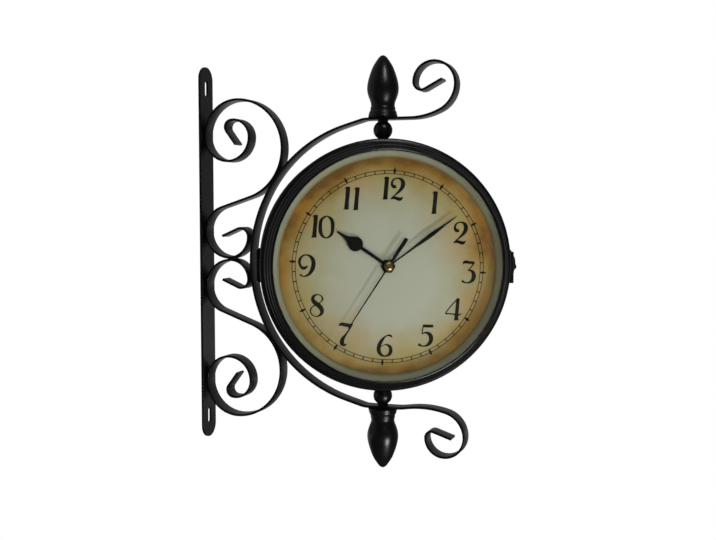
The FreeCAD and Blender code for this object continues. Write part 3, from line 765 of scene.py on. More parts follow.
@dataclass(frozen=True)
class DialFinish(Finish):
    """Aged printed card: pale middle, tan field and a burnt rim, all uneven."""

    tones: tuple[tuple[float, Colour], ...]
    blush: Colour
    olive: Colour
    fibre: Colour
    scorch: Colour
    reverse: Colour
    radius: float = 0.101
    middle_depth: float = 0.0385
    drift: Cloud = Cloud(17.0, 3.0, 0.55, (0.28, 0.72), (-0.11, 0.11))
    fray: Cloud = Cloud(90.0, 4.0, 0.6, (0.25, 0.75), (-0.025, 0.025))
    lean: Point = (-0.15, 0.0, 0.5)
    pale_way: Point = (-0.6, 0.0, -0.4)
    pale_reach: Pair = (0.042, 0.074)
    pale_gain: float = 0.085
    blush_cloud: Cloud = Cloud(24.0, 3.0, 0.55, (0.48, 0.66), (0.0, 0.6))
    olive_cloud: Cloud = Cloud(20.0, 3.0, 0.55, (0.5, 0.68), (0.0, 0.5), (0.31, 0.17, 0.53))
    scorch_cloud: Cloud = Cloud(26.0, 4.0, 0.6, (0.48, 0.68), (0.0, 0.7), (0.72, 0.4, 0.11))
    field_start: Pair = (0.4, 0.8)
    field_end: Span = (0.84, 0.95, 1.0, 0.25)
    rim: Pair = (0.78, 0.97)
    fibre_noise: Point = (1300.0, 3.0, 0.6)
    fibre_tint: Span = (0.4, 0.75, 0.0, 0.1)
    rough: Span = (0.3, 0.7, 0.5, 0.62)
    bump: Pair = (0.06, 0.0002)
    shine: float = 0.3

    def surface(self, shader: Shader, vector: Socket) -> Socket:
        """Distance from the dial's axis, shaken by noise, picks the tone; blotches tint it; the back stays plain.

        Args:
            shader: Calls on the material's tree.
            vector: Object coordinates.

        Returns:
            The shader output.
        """
        local = case_vector(shader, vector)
        share = shader.math("DIVIDE", dial_radius(shader, local), self.radius)
        place = share
        # Besides the noise, the lean pushes the tone darker towards the top and a little to the left.
        for sway in (self.drift.read(shader, local), self.fray.read(shader, local),
                     shader.measure("DOT_PRODUCT", local, self.lean)):
            place = shader.math("ADD", place, sway)
        # Towards the lower left the tone is pushed paler.
        low_left = shader.measure("DOT_PRODUCT", local, self.pale_way)
        pale = shader.spread(low_left, *self.pale_reach, 0.0, self.pale_gain)
        tone = shader.ramp(shader.math("SUBTRACT", place, pale), self.tones)
        middle = shader.math("MULTIPLY", shader.spread(share, *self.field_start), shader.spread(share, *self.field_end))
        for cloud, where, colour in ((self.blush_cloud, middle, self.blush), (self.olive_cloud, middle, self.olive),
                                     (self.scorch_cloud, shader.spread(share, *self.rim), self.scorch)):
            tone = shader.mix(shader.math("MULTIPLY", cloud.read(shader, local), where), tone, colour)
        fibre = shader.noise(local, *self.fibre_noise)
        tone = shader.mix(shader.spread(fibre, *self.fibre_tint), tone, self.fibre)
        depth = shader.math("ABSOLUTE", shader.axes(local)[1])
        tone = shader.mix(shader.math("GREATER_THAN", depth, self.middle_depth), self.reverse, tone)
        return shader.bumped(fibre, *self.bump, Base_Color=tone, Roughness=shader.spread(fibre, *self.rough),
                             Specular_IOR_Level=self.shine)


@dataclass(frozen=True)
class SleeveFinish(SkinFinish):
    """Battery sleeve: a broad dark part and a copper-coloured end under a clear coat."""

    rough: Pair = (0.22, 0.34)
    patch_scale: float = 60.0
    peel: float = 0.0
    coat: float = 0.4
    split: Pair = (0.012, 0.0126)

    def tone(self, shader: Shader, vector: Socket, patch: Socket) -> Socket:
        """The place along the sideways axis of the case picks the colour."""
        along = shader.axes(case_vector(shader, vector))[0]
        return shader.mix(shader.spread(along, *self.split), self.colour, self.patch)


@dataclass(frozen=True)
class PatternFinish(Finish):
    """Two tones laid out by a texture, which also makes the bump."""

    low: Colour
    high: Colour
    kind: str
    output: str
    settings: dict[str, str]
    values: dict[str, float]
    levels: Pair
    roughness: float
    bump: Pair
    metallic: float = 0.0

    def surface(self, shader: Shader, vector: Socket) -> Socket:
        """The texture's value between two levels picks the tone and raises the bump.

        Args:
            shader: Calls on the material's tree.
            vector: Object coordinates.

        Returns:
            The shader output.
        """
        texture = shader.add(self.kind, self.settings, Vector=vector, **self.values)
        mask = shader.spread(texture.outputs[self.output], *self.levels)
        return shader.bumped(mask, *self.bump, Metallic=self.metallic, Roughness=self.roughness,
                             Base_Color=shader.mix(mask, self.low, self.high))


PAINT = PaintFinish("satin_black_paint", Slot.PAINT, srgb(11, 10, 9), srgb(15, 13, 12), shine=0.42)
HAND_PAINT = SkinFinish("hand_lacquer", Slot.HAND, srgb(9, 9, 8), srgb(13, 12, 11), (0.28, 0.36), shine=0.2, peel=0.02)
INK = SkinFinish("dial_ink", Slot.HAND, srgb(16, 14, 10), srgb(30, 25, 16), (0.5, 0.62), shine=0.1, peel=0.03)
# The ring's first colour is the painted shade next to the dial, the second is its stains.
RING_PAINT = RingFinish("pale_ring_paint", Slot.RING, srgb(106, 90, 56), srgb(122, 112, 84))
BRASS = MetalFinish("aged_brass", Slot.BRASS, srgb(176, 150, 92), srgb(120, 92, 46))
DARK_BRASS = MetalFinish("dark_brass", Slot.BRASS, srgb(70, 58, 36), srgb(48, 38, 22), (0.3, 0.5))
STEEL = MetalFinish("plain_steel", Slot.STEEL, srgb(168, 168, 166), srgb(120, 120, 122))
GLASS = GlassFinish("flat_glass", Slot.GLASS, srgb(250, 253, 250))
CARD_TONES = ((0.40, srgb(181, 177, 160)), (0.60, srgb(174, 167, 143)), (0.72, srgb(170, 156, 122)),
              (0.82, srgb(162, 140, 92)), (0.90, srgb(149, 116, 50)), (0.96, srgb(134, 92, 20)),
              (1.0, srgb(112, 72, 10)))
CARD = DialFinish("aged_card", Slot.DIAL, CARD_TONES, srgb(188, 144, 106), srgb(164, 148, 84), srgb(120, 92, 48),
                  srgb(182, 120, 22), srgb(150, 142, 122))
MOVEMENT = MouldedFinish("movement_black", Slot.MOVEMENT, srgb(36, 36, 38), srgb(28, 28, 30))
WHEEL = MouldedFinish("wheel_cream", Slot.WHEEL, srgb(214, 206, 186), srgb(198, 188, 164), (0.34, 0.48),
                      peel_scale=2600.0)
SLEEVE = SleeveFinish("battery_wrap", Slot.BATTERY, (0.02, 0.02, 0.022), (0.5, 0.28, 0.1))
BOARD = PatternFinish("board_lacquer", Slot.BOARD, (0.01, 0.08, 0.03), (0.03, 0.2, 0.07), "ShaderNodeTexVoronoi",
                      "Distance", {"distance": "MANHATTAN", "feature": "F1"}, {"Scale": 420.0}, (0.45, 0.55), 0.3,
                      (0.2, 0.0002))
COIL = PatternFinish("wound_wire", Slot.COIL, (0.1, 0.03, 0.01), (0.6, 0.25, 0.08), "ShaderNodeTexWave", "Fac",
                     {"bands_direction": "Z"}, {"Scale": 130.0, "Distortion": 0.4, "Detail": 1.0}, (0.1, 0.6), 0.35,
                     (0.5, 0.0003), 0.8)


def settle(piece: bpy.types.Object, body: str, finish: Finish, *nodes: str) -> None:
    """Dresses a new piece, puts it on its body and hides the nodes it stands for.

    Args:
        piece: The new piece.
        body: Body that carries it.
        finish: Its finish.
        nodes: Nodes that it replaces.
    """
    finish.dress(piece)
    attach(piece, body)
    if nodes:
        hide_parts(*nodes)
    LOG.info("%s rides on %s, %d faces", piece.name, body, len(piece.data.polygons))


def case_piece(name: str, shape: Shape, side: Side, body: str, finish: Finish, *nodes: str,
               sharp: float = SHARP_ANGLE) -> None:
    """A piece of the case or its works, from a shape in case coordinates."""
    settle(mesh_piece(name, CASE.place(shape[0], side), shape[1], sharp), body, finish, *nodes)


# Bracket


Move = tuple[float, float]
Line = tuple[Array, Array]


@dataclass
class Bracket:
    """Flat-bar bracket: bow with tails, two scrolls, and turned finials and beads at the pivots."""

    strip_half: float = 1.0
    drawn_half: float = 1.18
    strip_width_half: float = 7.8
    edge_round: float = 0.4
    bow_radius: float = 139.0
    bow_shift: float = 0.0097 * bow_radius
    seat_height: float = 139.3
    seat_half: float = 0.1007 * bow_radius
    shoulder: float = 16.0
    upper_tail: tuple[Move, ...] = ((0, 15.3), (65.1, 26.0), (27.0, 64.0), (21.3, 90.0), (19.0, 90.0),
                                    (7.5, 117.6), (0, 18.5))
    lower_tail: tuple[Move, ...] = ((60.0, -8.0), (0, 6.4), (89.0, 23.6), (24.6, 74.4), (19.5, 90.0),
                                    (18.1, 90.0), (6.0, 108.5), (0, 18.2))
    inner_curl: tuple[Move, ...] = ((25.25, 90.0), (23.9, 90.0), (17.4, 101.2), (7.0, 115.3), (0, 16.6))
    small_curl: tuple[Move, ...] = ((8.6, 113.4), (0, 18.4))
    upper_loop: tuple[float, ...] = (36.0, 49.1, 50.9, 72.0)
    lower_loop: tuple[float, ...] = (34.5, 48.0, 49.1, 69.6)
    small_loop: float = 25.9
    meet_rise: float = 2.6
    weld_gap: float = 0.4
    curl_clearance: float = 1.0
    bar_face: float = 2.5 - CASE.pivot_x
    finial_curve: tuple[Pair, ...] = (
        (14.1, 1.6), (13.5, 3.9), (12.75, 6.2), (12.0, 7.4), (12.05, 8.3), (11.55, 10.6), (13.2, 18.5), (15.2, 27.3),
        (14.2, 35.3), (11.7, 43.5), (9.0, 49.8), (5.5, 55.2), (2.5, 58.6), (0.0, 59.7))
    finial_points: int = 110
    finial_foot: float = 13.2
    foot_round: Pair = (0.75, 0.4)
    bead_radius: float = 9.2
    bead_low: float = 118.8
    bead_length: float = 19.5
    collar_radius: float = 5.0
    straight_step: float = 3.0
    turn_step: float = 2.5
    finial_segments: int = 72
    foot_points: int = 6
    bead_segments: int = 64
    bead_points: int = 30

    def walk(self, start: Sequence[float], heading: float, moves: Sequence[Move]) -> Line:
        """Centre line of bends and straights, as points and heading angles.

        A bend of radius r turns evenly about its centre; a move of radius 0 goes straight on.

        Args:
            start: First point (x, z).
            heading: First heading in degrees.
            moves: (radius, turn in degrees) bends and (0, length) straights.

        Returns:
            Points of (n, 2) and headings of (n).
        """
        here, angle = np.asarray(start, float), math.radians(heading)
        spots, headings = [here[None]], [np.array([angle])]
        for radius, amount in moves:
            if radius == 0:
                steps = np.linspace(0.0, amount, max(2, int(amount / self.straight_step)))[1:]
                turned = np.full(len(steps), angle)
                line = here + steps[:, None] * np.array([math.cos(angle), math.sin(angle)])
            else:
                signed = math.copysign(radius, amount)
                count = max(3, int(abs(amount) / self.turn_step))
                turned = angle + np.radians(np.linspace(0.0, amount, count)[1:])
                centre = here + signed * np.array([-math.sin(angle), math.cos(angle)])
                line = centre + signed * np.stack([np.sin(turned), -np.cos(turned)], axis=-1)
            spots.append(line)
            headings.append(turned)
            here, angle = line[-1], float(turned[-1])
        return np.concatenate(spots), np.concatenate(headings)

    def handed(self, moves: Sequence[Move], way: int) -> list[Move]:
        """Moves with their bends as they are (1) or to the other hand (-1)."""
        return [(radius, amount if radius == 0 else way * amount) for radius, amount in moves]

    def reverse(self, line: Line) -> Line:
        """The same centre line walked from its other end, without its last point."""
        return line[0][:0:-1], line[1][:0:-1] + math.pi

    def make(self, name: str, shape: Shape, node: str) -> None:
        """A painted bracket piece, from a shape about the pivot."""
        settle(mesh_piece(name, CASE.at_pivot(shape[0]), shape[1]), "bracket", PAINT, node)

    def strip(self, name: str, lines: Sequence[Line], node: str) -> None:
        """Flat bar with softened edges carried along a centre line in the XZ plane.

        The section's thickness lies along the line's normal, its width along Y.

        Args:
            name: Name of the piece.
            lines: Runs of points and headings, end to end.
            node: Node that it stands for.
        """
        spots = np.concatenate([line[0] for line in lines])
        heading = np.concatenate([line[1] for line in lines])
        keep = np.concatenate([[True], np.linalg.norm(np.diff(spots, axis=0), axis=1) > SAME_SPOT])
        spots, heading = spots[keep], heading[keep]
        section = rounded_section(self.drawn_half, self.strip_width_half, self.edge_round)
        normal = np.stack([-np.sin(heading), 0 * heading, np.cos(heading)], axis=-1)
        centre = np.stack([spots[:, 0], 0 * heading, spots[:, 1]], axis=-1)
        rings = centre[:, None] + section[None, :, :1] * normal[:, None]
        rings = rings + section[None, :, 1:] * np.array([0.0, 1.0, 0.0])
        self.make(name, loft(rings), node)

    def arm(self) -> None:
        """Yoke arm: upper tail, bow and lower tail in one bent strip."""
        turn = math.radians(self.shoulder)
        across = self.bow_radius * math.sin(turn) - self.bow_shift - self.seat_half
        rise = self.seat_height - self.bow_radius * math.cos(turn)
        flat = math.cos(turn) - 1.0
        ramp = -(across * flat + rise * math.sin(turn)) / flat
        bend = (math.cos(turn) * rise - math.sin(turn) * across) / flat
        ends = [(bend, self.shoulder), (0, ramp)]
        moves = ends + [(self.bow_radius, 180.0 - 2 * self.shoulder)] + ends[::-1]
        top, low = (-self.seat_half, self.seat_height), (-self.seat_half, -self.seat_height)
        seat = [(0, 2 * self.seat_half)]
        upper = self.reverse(self.walk(top, 0.0, seat + list(self.upper_tail)))
        lower = self.walk(low, 0.0, seat + self.handed(self.lower_tail, -1))
        self.strip("yoke_arm_bar", [upper, self.walk(top, 180.0, moves), lower], "yoke_arm")

    def scroll(self, name: str, way: int, loop: Sequence[float], node: str) -> None:
        """One S-scroll above (1) or below (-1) the middle, welded to bar and bow.

        The outer loop's last circle touches the bow; the run to the small loop is their common tangent.

        Args:
            name: Name of the piece.
            way: 1 for the upper scroll, -1 for the lower one.
            loop: Three radii and the last sweep of the outer loop.
            node: Node that it stands for.
        """
        first, second, third, sweep = loop
        turn = math.radians(sweep)
        edge = self.bar_face + self.weld_gap + self.strip_half
        hub_x = edge + first + second - third
        reach = self.bow_radius + 2 * self.strip_half + self.weld_gap + third
        hub_z = math.sqrt(reach ** 2 - (hub_x - self.bow_shift) ** 2)
        joined = third + self.small_loop
        straight = (first + second - joined * (1 - math.cos(turn))) / math.sin(turn)
        low_z = hub_z - joined * math.sin(turn) - straight * math.cos(turn)
        last = low_z - way * self.meet_rise - self.strip_half - self.weld_gap / 2
        curl = self.bow_shift - self.bow_radius - 2 * self.strip_half - self.curl_clearance - edge - last
        outer = [(first, -90.0), (second, -90.0), (third, -sweep), (0, straight), (self.small_loop, sweep),
                 (last, 90.0), (curl, 90.0)] + list(self.small_curl)
        start = (edge, way * (hub_z - first + second))
        inward = self.walk(start, -90.0 * way, self.handed(self.inner_curl, way))
        self.strip(name, [self.reverse(inward), self.walk(start, 90.0 * way, self.handed(outer, way))], node)

    def finial(self, name: str, way: int, node: str) -> None:
        """Turned flame finial above (1) or below (-1) the arm.

        Args:
            name: Name of the piece.
            way: 1 for the top, -1 for the bottom.
            node: Node that it stands for.
        """
        flame = spline(np.array(self.finial_curve), self.finial_points)
        flame[:, 0] = np.maximum(flame[:, 0], 0.0)
        flame[-1] = self.finial_curve[-1]
        out, up = self.foot_round
        foot = arc((self.finial_foot, 0.0), (self.finial_foot + out, up), self.finial_curve[0],
                   self.foot_points)[:-1]
        profile = np.concatenate([[(0.0, 0.0)], foot, flame])
        profile[:, 1] = (profile[:, 1] + self.seat_height + self.strip_half) * way
        self.make(name, upright_lathe(profile, self.finial_segments), node)

    def beads(self) -> None:
        """Two balls with short collars between the arm and the case."""
        middle = self.bead_low + self.bead_length / 2
        top = self.bead_low + self.bead_length
        lift = math.sqrt(self.bead_radius ** 2 - self.collar_radius ** 2)
        ball = arc((self.collar_radius, middle - lift), (self.bead_radius, middle),
                   (self.collar_radius, middle + lift), self.bead_points)
        profile = np.concatenate([[(0.0, self.bead_low), (self.collar_radius, self.bead_low)], ball,
                                  [(self.collar_radius, top), (0.0, top)]])
        balls = [upright_lathe(profile * np.array([1.0, way]), self.bead_segments) for way in (1, -1)]
        self.make("pivot_balls", join(balls), "pivot_beads")

    def build(self) -> None:
        """All bracket pieces in order."""
        self.arm()
        self.scroll("upper_scroll_bar", 1, self.upper_loop, "upper_scroll")
        self.scroll("lower_scroll_bar", -1, self.lower_loop, "lower_scroll")
        self.finial("top_flame", 1, "top_finial")
        self.finial("bottom_flame", -1, "bottom_finial")
        self.beads()


# Case halves


@dataclass
class CaseHalf:
    """One shell of the case with its pale ring, turned about the dial's axis."""

    side: Side
    wall: float = 117.0
    inner: float = 115.5
    rim: float = 119.0
    rim_depth: float = 29.5
    rim_half: float = 2.5
    steps: tuple[Pair, ...] = ((114.8, 33.5), (112.2, 39.0), (109.7, 44.4), (109.7, 45.2))
    hollow_in: float = 0.3
    hollow_share: float = 0.65
    lip_depth: float = 50.0
    opening: float = 106.9
    lip_crest: float = 0.6
    lip_round: Pair = (0.5, 0.9)
    glass_seat: float = 48.2
    bore: float = 108.9
    seam: float = 10.0
    seam_gap: float = 0.3
    dial_front: float = 39.0
    dial_shown: float = 101.0
    ring_top: float = 106.6
    glass_back: float = 46.2
    ring_side: float = 108.6
    segments: int = 240
    shell_sharp: float = math.radians(24.0)
    bore_step: float = 1.0
    hollow_points: int = 12
    lip_points: int = 14
    bead_points: int = 18
    wall_points: int = 8
    slope_points: int = 6

    def profile(self) -> Array:
        """Closed outline of the shell: wall, beaded rim, two hollow steps, rolled lip and inner wall.

        Returns:
            Array of (radius, depth).
        """
        back = self.seam + self.seam_gap if self.side is Side.FRONT else -self.seam
        rim_back, rim_front = self.rim_depth - self.rim_half, self.rim_depth + self.rim_half
        one, two, three, four = self.steps
        hollows = [arc(low, (low[0] - self.hollow_in, low[1] + self.hollow_share * (high[1] - low[1])), high,
                       self.hollow_points) for low, high in ((one, two), (two, three))]
        crest = (self.opening + self.lip_crest, self.lip_depth)
        turned = (four[0] - self.lip_round[0], self.lip_depth - self.lip_round[1])
        lip = arc(four, turned, crest, self.lip_points)
        bead = arc((self.wall, rim_back), (self.rim, self.rim_depth), (self.wall, rim_front), self.bead_points)
        straight = np.linspace((self.wall, back), (self.wall, rim_back), self.wall_points)[:-1]
        inside = [(self.opening, self.lip_depth - self.lip_round[0]), (self.opening, self.glass_seat),
                  (self.bore, self.glass_seat), (self.bore, rim_front + self.bore_step), (self.inner, rim_back),
                  (self.inner, back)]
        return np.concatenate([straight, bead, *hollows, lip, inside])

    def build(self) -> None:
        """Shell and pale ring of this side, both turned about the dial's axis."""
        name, body = self.side.value, self.side.body
        case_piece(name + "_case_shell", lathe(self.profile(), self.segments), self.side, body, PAINT,
                   name + "_shell", sharp=self.shell_sharp)
        slope = np.linspace((self.dial_shown, self.dial_front), (self.ring_top, self.glass_back),
                            self.slope_points)
        ring = np.concatenate([slope, [(self.ring_side, self.glass_back), (self.ring_side, self.dial_front)]])
        case_piece(name + "_sloped_ring", lathe(ring, self.segments), self.side, body, RING_PAINT,
                   name + "_pale_ring")


# Dial print


Stroke = tuple[tuple[float, float, float], ...]

DIGITS: dict[str, tuple[float, tuple[Stroke, ...]]] = {
    "0": (0.66, (
        ((0.33, 0.985, 0.05), (0.11, 0.84, 0.10), (0.055, 0.52, 0.13), (0.13, 0.16, 0.12), (0.33, 0.015, 0.06),
         (0.55, 0.16, 0.10), (0.605, 0.48, 0.13), (0.53, 0.84, 0.12), (0.33, 0.985, 0.05)),)),
    "1": (0.24, (
        ((0.145, 1.0, 0.15), (0.14, 0.7, 0.145), (0.13, 0.3, 0.145), (0.125, 0.0, 0.16)),
        ((0.0, 0.9, 0.02), (0.06, 0.945, 0.06), (0.16, 0.985, 0.05)),
        ((0.0, 0.005, 0.03), (0.1, 0.03, 0.07), (0.235, 0.06, 0.03)))),
    "2": (0.66, (
        ((0.26, 0.62, 0.11), (0.17, 0.585, 0.12), (0.075, 0.69, 0.1), (0.12, 0.88, 0.07), (0.31, 0.975, 0.06),
         (0.52, 0.88, 0.13), (0.565, 0.68, 0.15), (0.43, 0.42, 0.1), (0.22, 0.2, 0.06), (0.06, 0.045, 0.04)),
        ((0.05, 0.02, 0.03), (0.17, 0.09, 0.09), (0.33, 0.08, 0.12), (0.48, 0.06, 0.12), (0.6, 0.16, 0.03)))),
    "3": (0.66, (
        ((0.08, 0.84, 0.03), (0.11, 0.93, 0.09), (0.3, 0.945, 0.11), (0.58, 0.945, 0.09)),
        ((0.58, 0.94, 0.06), (0.46, 0.76, 0.05), (0.33, 0.6, 0.04)),
        ((0.3, 0.585, 0.05), (0.47, 0.57, 0.09), (0.585, 0.42, 0.15), (0.57, 0.2, 0.14), (0.42, 0.05, 0.08),
         (0.22, 0.03, 0.06), (0.07, 0.1, 0.1)))),
    "4": (0.78, (
        ((0.56, 0.99, 0.06), (0.31, 0.7, 0.05), (0.03, 0.3, 0.05)),
        ((0.02, 0.28, 0.06), (0.4, 0.27, 0.06), (0.68, 0.27, 0.06), (0.78, 0.34, 0.02)),
        ((0.56, 1.0, 0.12), (0.55, 0.6, 0.13), (0.535, 0.0, 0.14)),
        ((0.42, 0.005, 0.03), (0.53, 0.03, 0.06), (0.67, 0.05, 0.03)))),
    "5": (0.72, (
        ((0.2, 0.93, 0.1), (0.32, 0.93, 0.11), (0.52, 0.935, 0.11), (0.68, 0.945, 0.1)),
        ((0.225, 0.95, 0.05), (0.205, 0.77, 0.05), (0.19, 0.58, 0.05)),
        ((0.19, 0.565, 0.04), (0.36, 0.63, 0.08), (0.55, 0.55, 0.14), (0.62, 0.35, 0.15), (0.53, 0.13, 0.12),
         (0.34, 0.025, 0.06), (0.17, 0.035, 0.07), (0.06, 0.1, 0.11)))),
    "6": (0.72, (
        ((0.66, 0.87, 0.04), (0.58, 0.945, 0.08), (0.43, 0.945, 0.06), (0.24, 0.78, 0.1), (0.1, 0.5, 0.14),
         (0.1, 0.22, 0.14), (0.24, 0.05, 0.09), (0.4, 0.02, 0.06), (0.575, 0.11, 0.11), (0.63, 0.3, 0.13),
         (0.53, 0.49, 0.1), (0.36, 0.53, 0.05), (0.16, 0.42, 0.04)),)),
    "7": (0.68, (
        ((0.02, 0.86, 0.03), (0.1, 0.935, 0.1), (0.3, 0.93, 0.13), (0.5, 0.92, 0.12), (0.66, 0.985, 0.04)),
        ((0.64, 0.97, 0.05), (0.5, 0.72, 0.06), (0.33, 0.44, 0.09), (0.22, 0.22, 0.15), (0.25, 0.06, 0.14),
         (0.36, 0.03, 0.08), (0.42, 0.08, 0.03)))),
    "8": (0.66, (
        ((0.52, 0.9, 0.06), (0.34, 0.98, 0.05), (0.16, 0.9, 0.1), (0.13, 0.75, 0.13), (0.29, 0.58, 0.16),
         (0.49, 0.42, 0.16), (0.57, 0.22, 0.13), (0.45, 0.05, 0.07), (0.31, 0.015, 0.05), (0.12, 0.1, 0.05),
         (0.055, 0.28, 0.055), (0.16, 0.45, 0.05), (0.36, 0.57, 0.045), (0.5, 0.68, 0.05), (0.56, 0.8, 0.07)),)),
    "9": (0.76, (
        ((0.46, 0.5, 0.02), (0.36, 0.43, 0.09), (0.24, 0.38, 0.11), (0.1, 0.5, 0.09), (0.055, 0.68, 0.1),
         (0.14, 0.88, 0.08), (0.36, 0.975, 0.06), (0.58, 0.87, 0.12), (0.68, 0.62, 0.15), (0.63, 0.32, 0.14),
         (0.48, 0.1, 0.09), (0.3, 0.025, 0.06), (0.17, 0.05, 0.06), (0.13, 0.11, 0.1)),)),
}
CLOSED_DIGITS = ("8",)


@dataclass
class DialPrint:
    """Ink on one dial: minute track, hour marks and upright numerals."""

    side: Side
    level: float = 39.0
    ink_height: float = 0.07
    sink: float = 0.03
    turn: float = math.radians(3.7)
    offset: Pair = (0.5, -0.9)
    outer_line: float = 89.7
    inner_line: float = 86.7
    line_width: float = 0.62
    tick_width: float = 0.95
    mark_reach: Pair = (86.2, 92.6)
    mark_half: float = 1.15
    mark_shape: float = 0.7
    mark_least: float = 0.25
    mark_points: int = 9
    numeral_centres: tuple[Pair, ...] = (
        (43.1, 59.9), (67.6, 31.7), (75.3, -5.3), (61.6, -39.9), (35.1, -64.5), (-3.2, -73.2), (-40.6, -62.4),
        (-66.8, -35.1), (-76.3, 1.9), (-61.0, 37.8), (-34.4, 63.9), (5.0, 72.8))
    numeral_height: float = 20.9
    weight: Pair = (1.38, -0.018)
    digit_gap: float = 0.07
    twin_gap: float = 0.18
    stroke_points: int = 12
    stroke_least: float = 0.02
    stroke_lift: float = 0.004
    tick_lift: float = 0.01
    track_segments: int = 180
    parts: list[Shape] = field(default_factory=list)

    def ribbon(self, line: Array, lift: float) -> None:
        """A flat ribbon of ink along a line of (x, y, width) points, as a thin closed slab.

        Each station is a rectangle across the line, half a width to each side of it.

        Args:
            line: Array of (n, 3).
            lift: Small extra height, so that crossing ribbons don't share a plane.
        """
        heading = np.gradient(line[:, :2], axis=0)
        heading = heading / np.maximum(np.linalg.norm(heading, axis=1, keepdims=True), TINY)
        across = np.stack([-heading[:, 1], heading[:, 0]], axis=-1) * line[:, 2:] / 2
        low, high = self.level - self.sink, self.level + self.ink_height + lift
        corners = [(across, low), (across, high), (-across, high), (-across, low)]
        rings = [np.stack([line[:, 0] + a[:, 0], np.full(len(line), d), line[:, 1] + a[:, 1]], axis=-1)
                 for a, d in corners]
        self.parts.append(loft(np.stack(rings, axis=1)))

    def ring(self, radius: float) -> None:
        """One thin circle of the minute track, a flat section turned about the dial's axis.

        Args:
            radius: Radius of its middle.
        """
        half = self.line_width / 2
        low, high = self.level - self.sink, self.level + self.ink_height
        section = np.array([(radius - half, low), (radius - half, high), (radius + half, high), (radius + half, low)])
        self.parts.append(lathe(section, self.track_segments))

    def clockwise(self, hours: float) -> Array:
        """Unit direction of a place on the dial, counted in hours from the top."""
        angle = hours * math.pi / 6 + self.turn
        return np.array([math.sin(angle), math.cos(angle)])

    def track(self) -> None:
        """Minute ticks between the two circles and a lozenge at each hour."""
        self.ring(self.outer_line)
        self.ring(self.inner_line)
        for minute in range(60):
            out = self.clockwise(minute / 5)
            if minute % 5:
                ends = np.array([self.inner_line, self.outer_line])
                widths = np.full(2, self.tick_width)
            else:
                ends = np.linspace(*self.mark_reach, self.mark_points)
                swell = 1 - np.abs(np.linspace(-1, 1, self.mark_points))
                widths = 2 * self.mark_half * swell ** self.mark_shape + self.mark_least
            self.ribbon(np.concatenate([ends[:, None] * out, widths[:, None]], axis=1), self.tick_lift)

    def numeral(self, hour: int) -> None:
        """An upright numeral at its hour: each stroke is a smooth line of places and widths.

        Args:
            hour: Number from 1 to 12.
        """
        digits = str(hour)
        widths = [DIGITS[d][0] for d in digits]
        gap = self.twin_gap if len(set(digits)) < len(digits) else self.digit_gap
        total = sum(widths) + gap * (len(digits) - 1)
        centre = np.array(self.numeral_centres[hour - 1])
        cos, sin = math.cos(self.turn), math.sin(self.turn)
        turn = np.array([[cos, -sin], [sin, cos]])
        start = -total / 2
        for digit, width in zip(digits, widths):
            for index, stroke in enumerate(DIGITS[digit][1]):
                points = np.array(stroke)
                line = spline(points, self.stroke_points * len(points), digit in CLOSED_DIGITS)
                line[:, 2] = np.maximum(line[:, 2] * self.weight[0] + self.weight[1], self.stroke_least)
                spots = (line[:, :2] + np.array([start, -0.5])) * self.numeral_height
                flat = np.concatenate([spots @ turn + centre, line[:, 2:] * self.numeral_height], axis=1)
                self.ribbon(flat, self.stroke_lift * (index + 1))
            start += width + gap

    def build(self) -> None:
        """The whole print of this side as one piece."""
        self.track()
        for hour in range(1, 13):
            self.numeral(hour)
        verts, faces = join(self.parts)
        moved = verts + np.array([self.offset[0], 0.0, self.offset[1]])
        case_piece(self.side.value + "_dial_print", (moved, faces), self.side, self.side.body, INK)


# Hands


@dataclass(frozen=True)
class Hand:
    """Place of one hand: clockwise angle from the top in degrees, height over the dial and radius of its boss."""

    angle: float
    rise: float
    boss: float


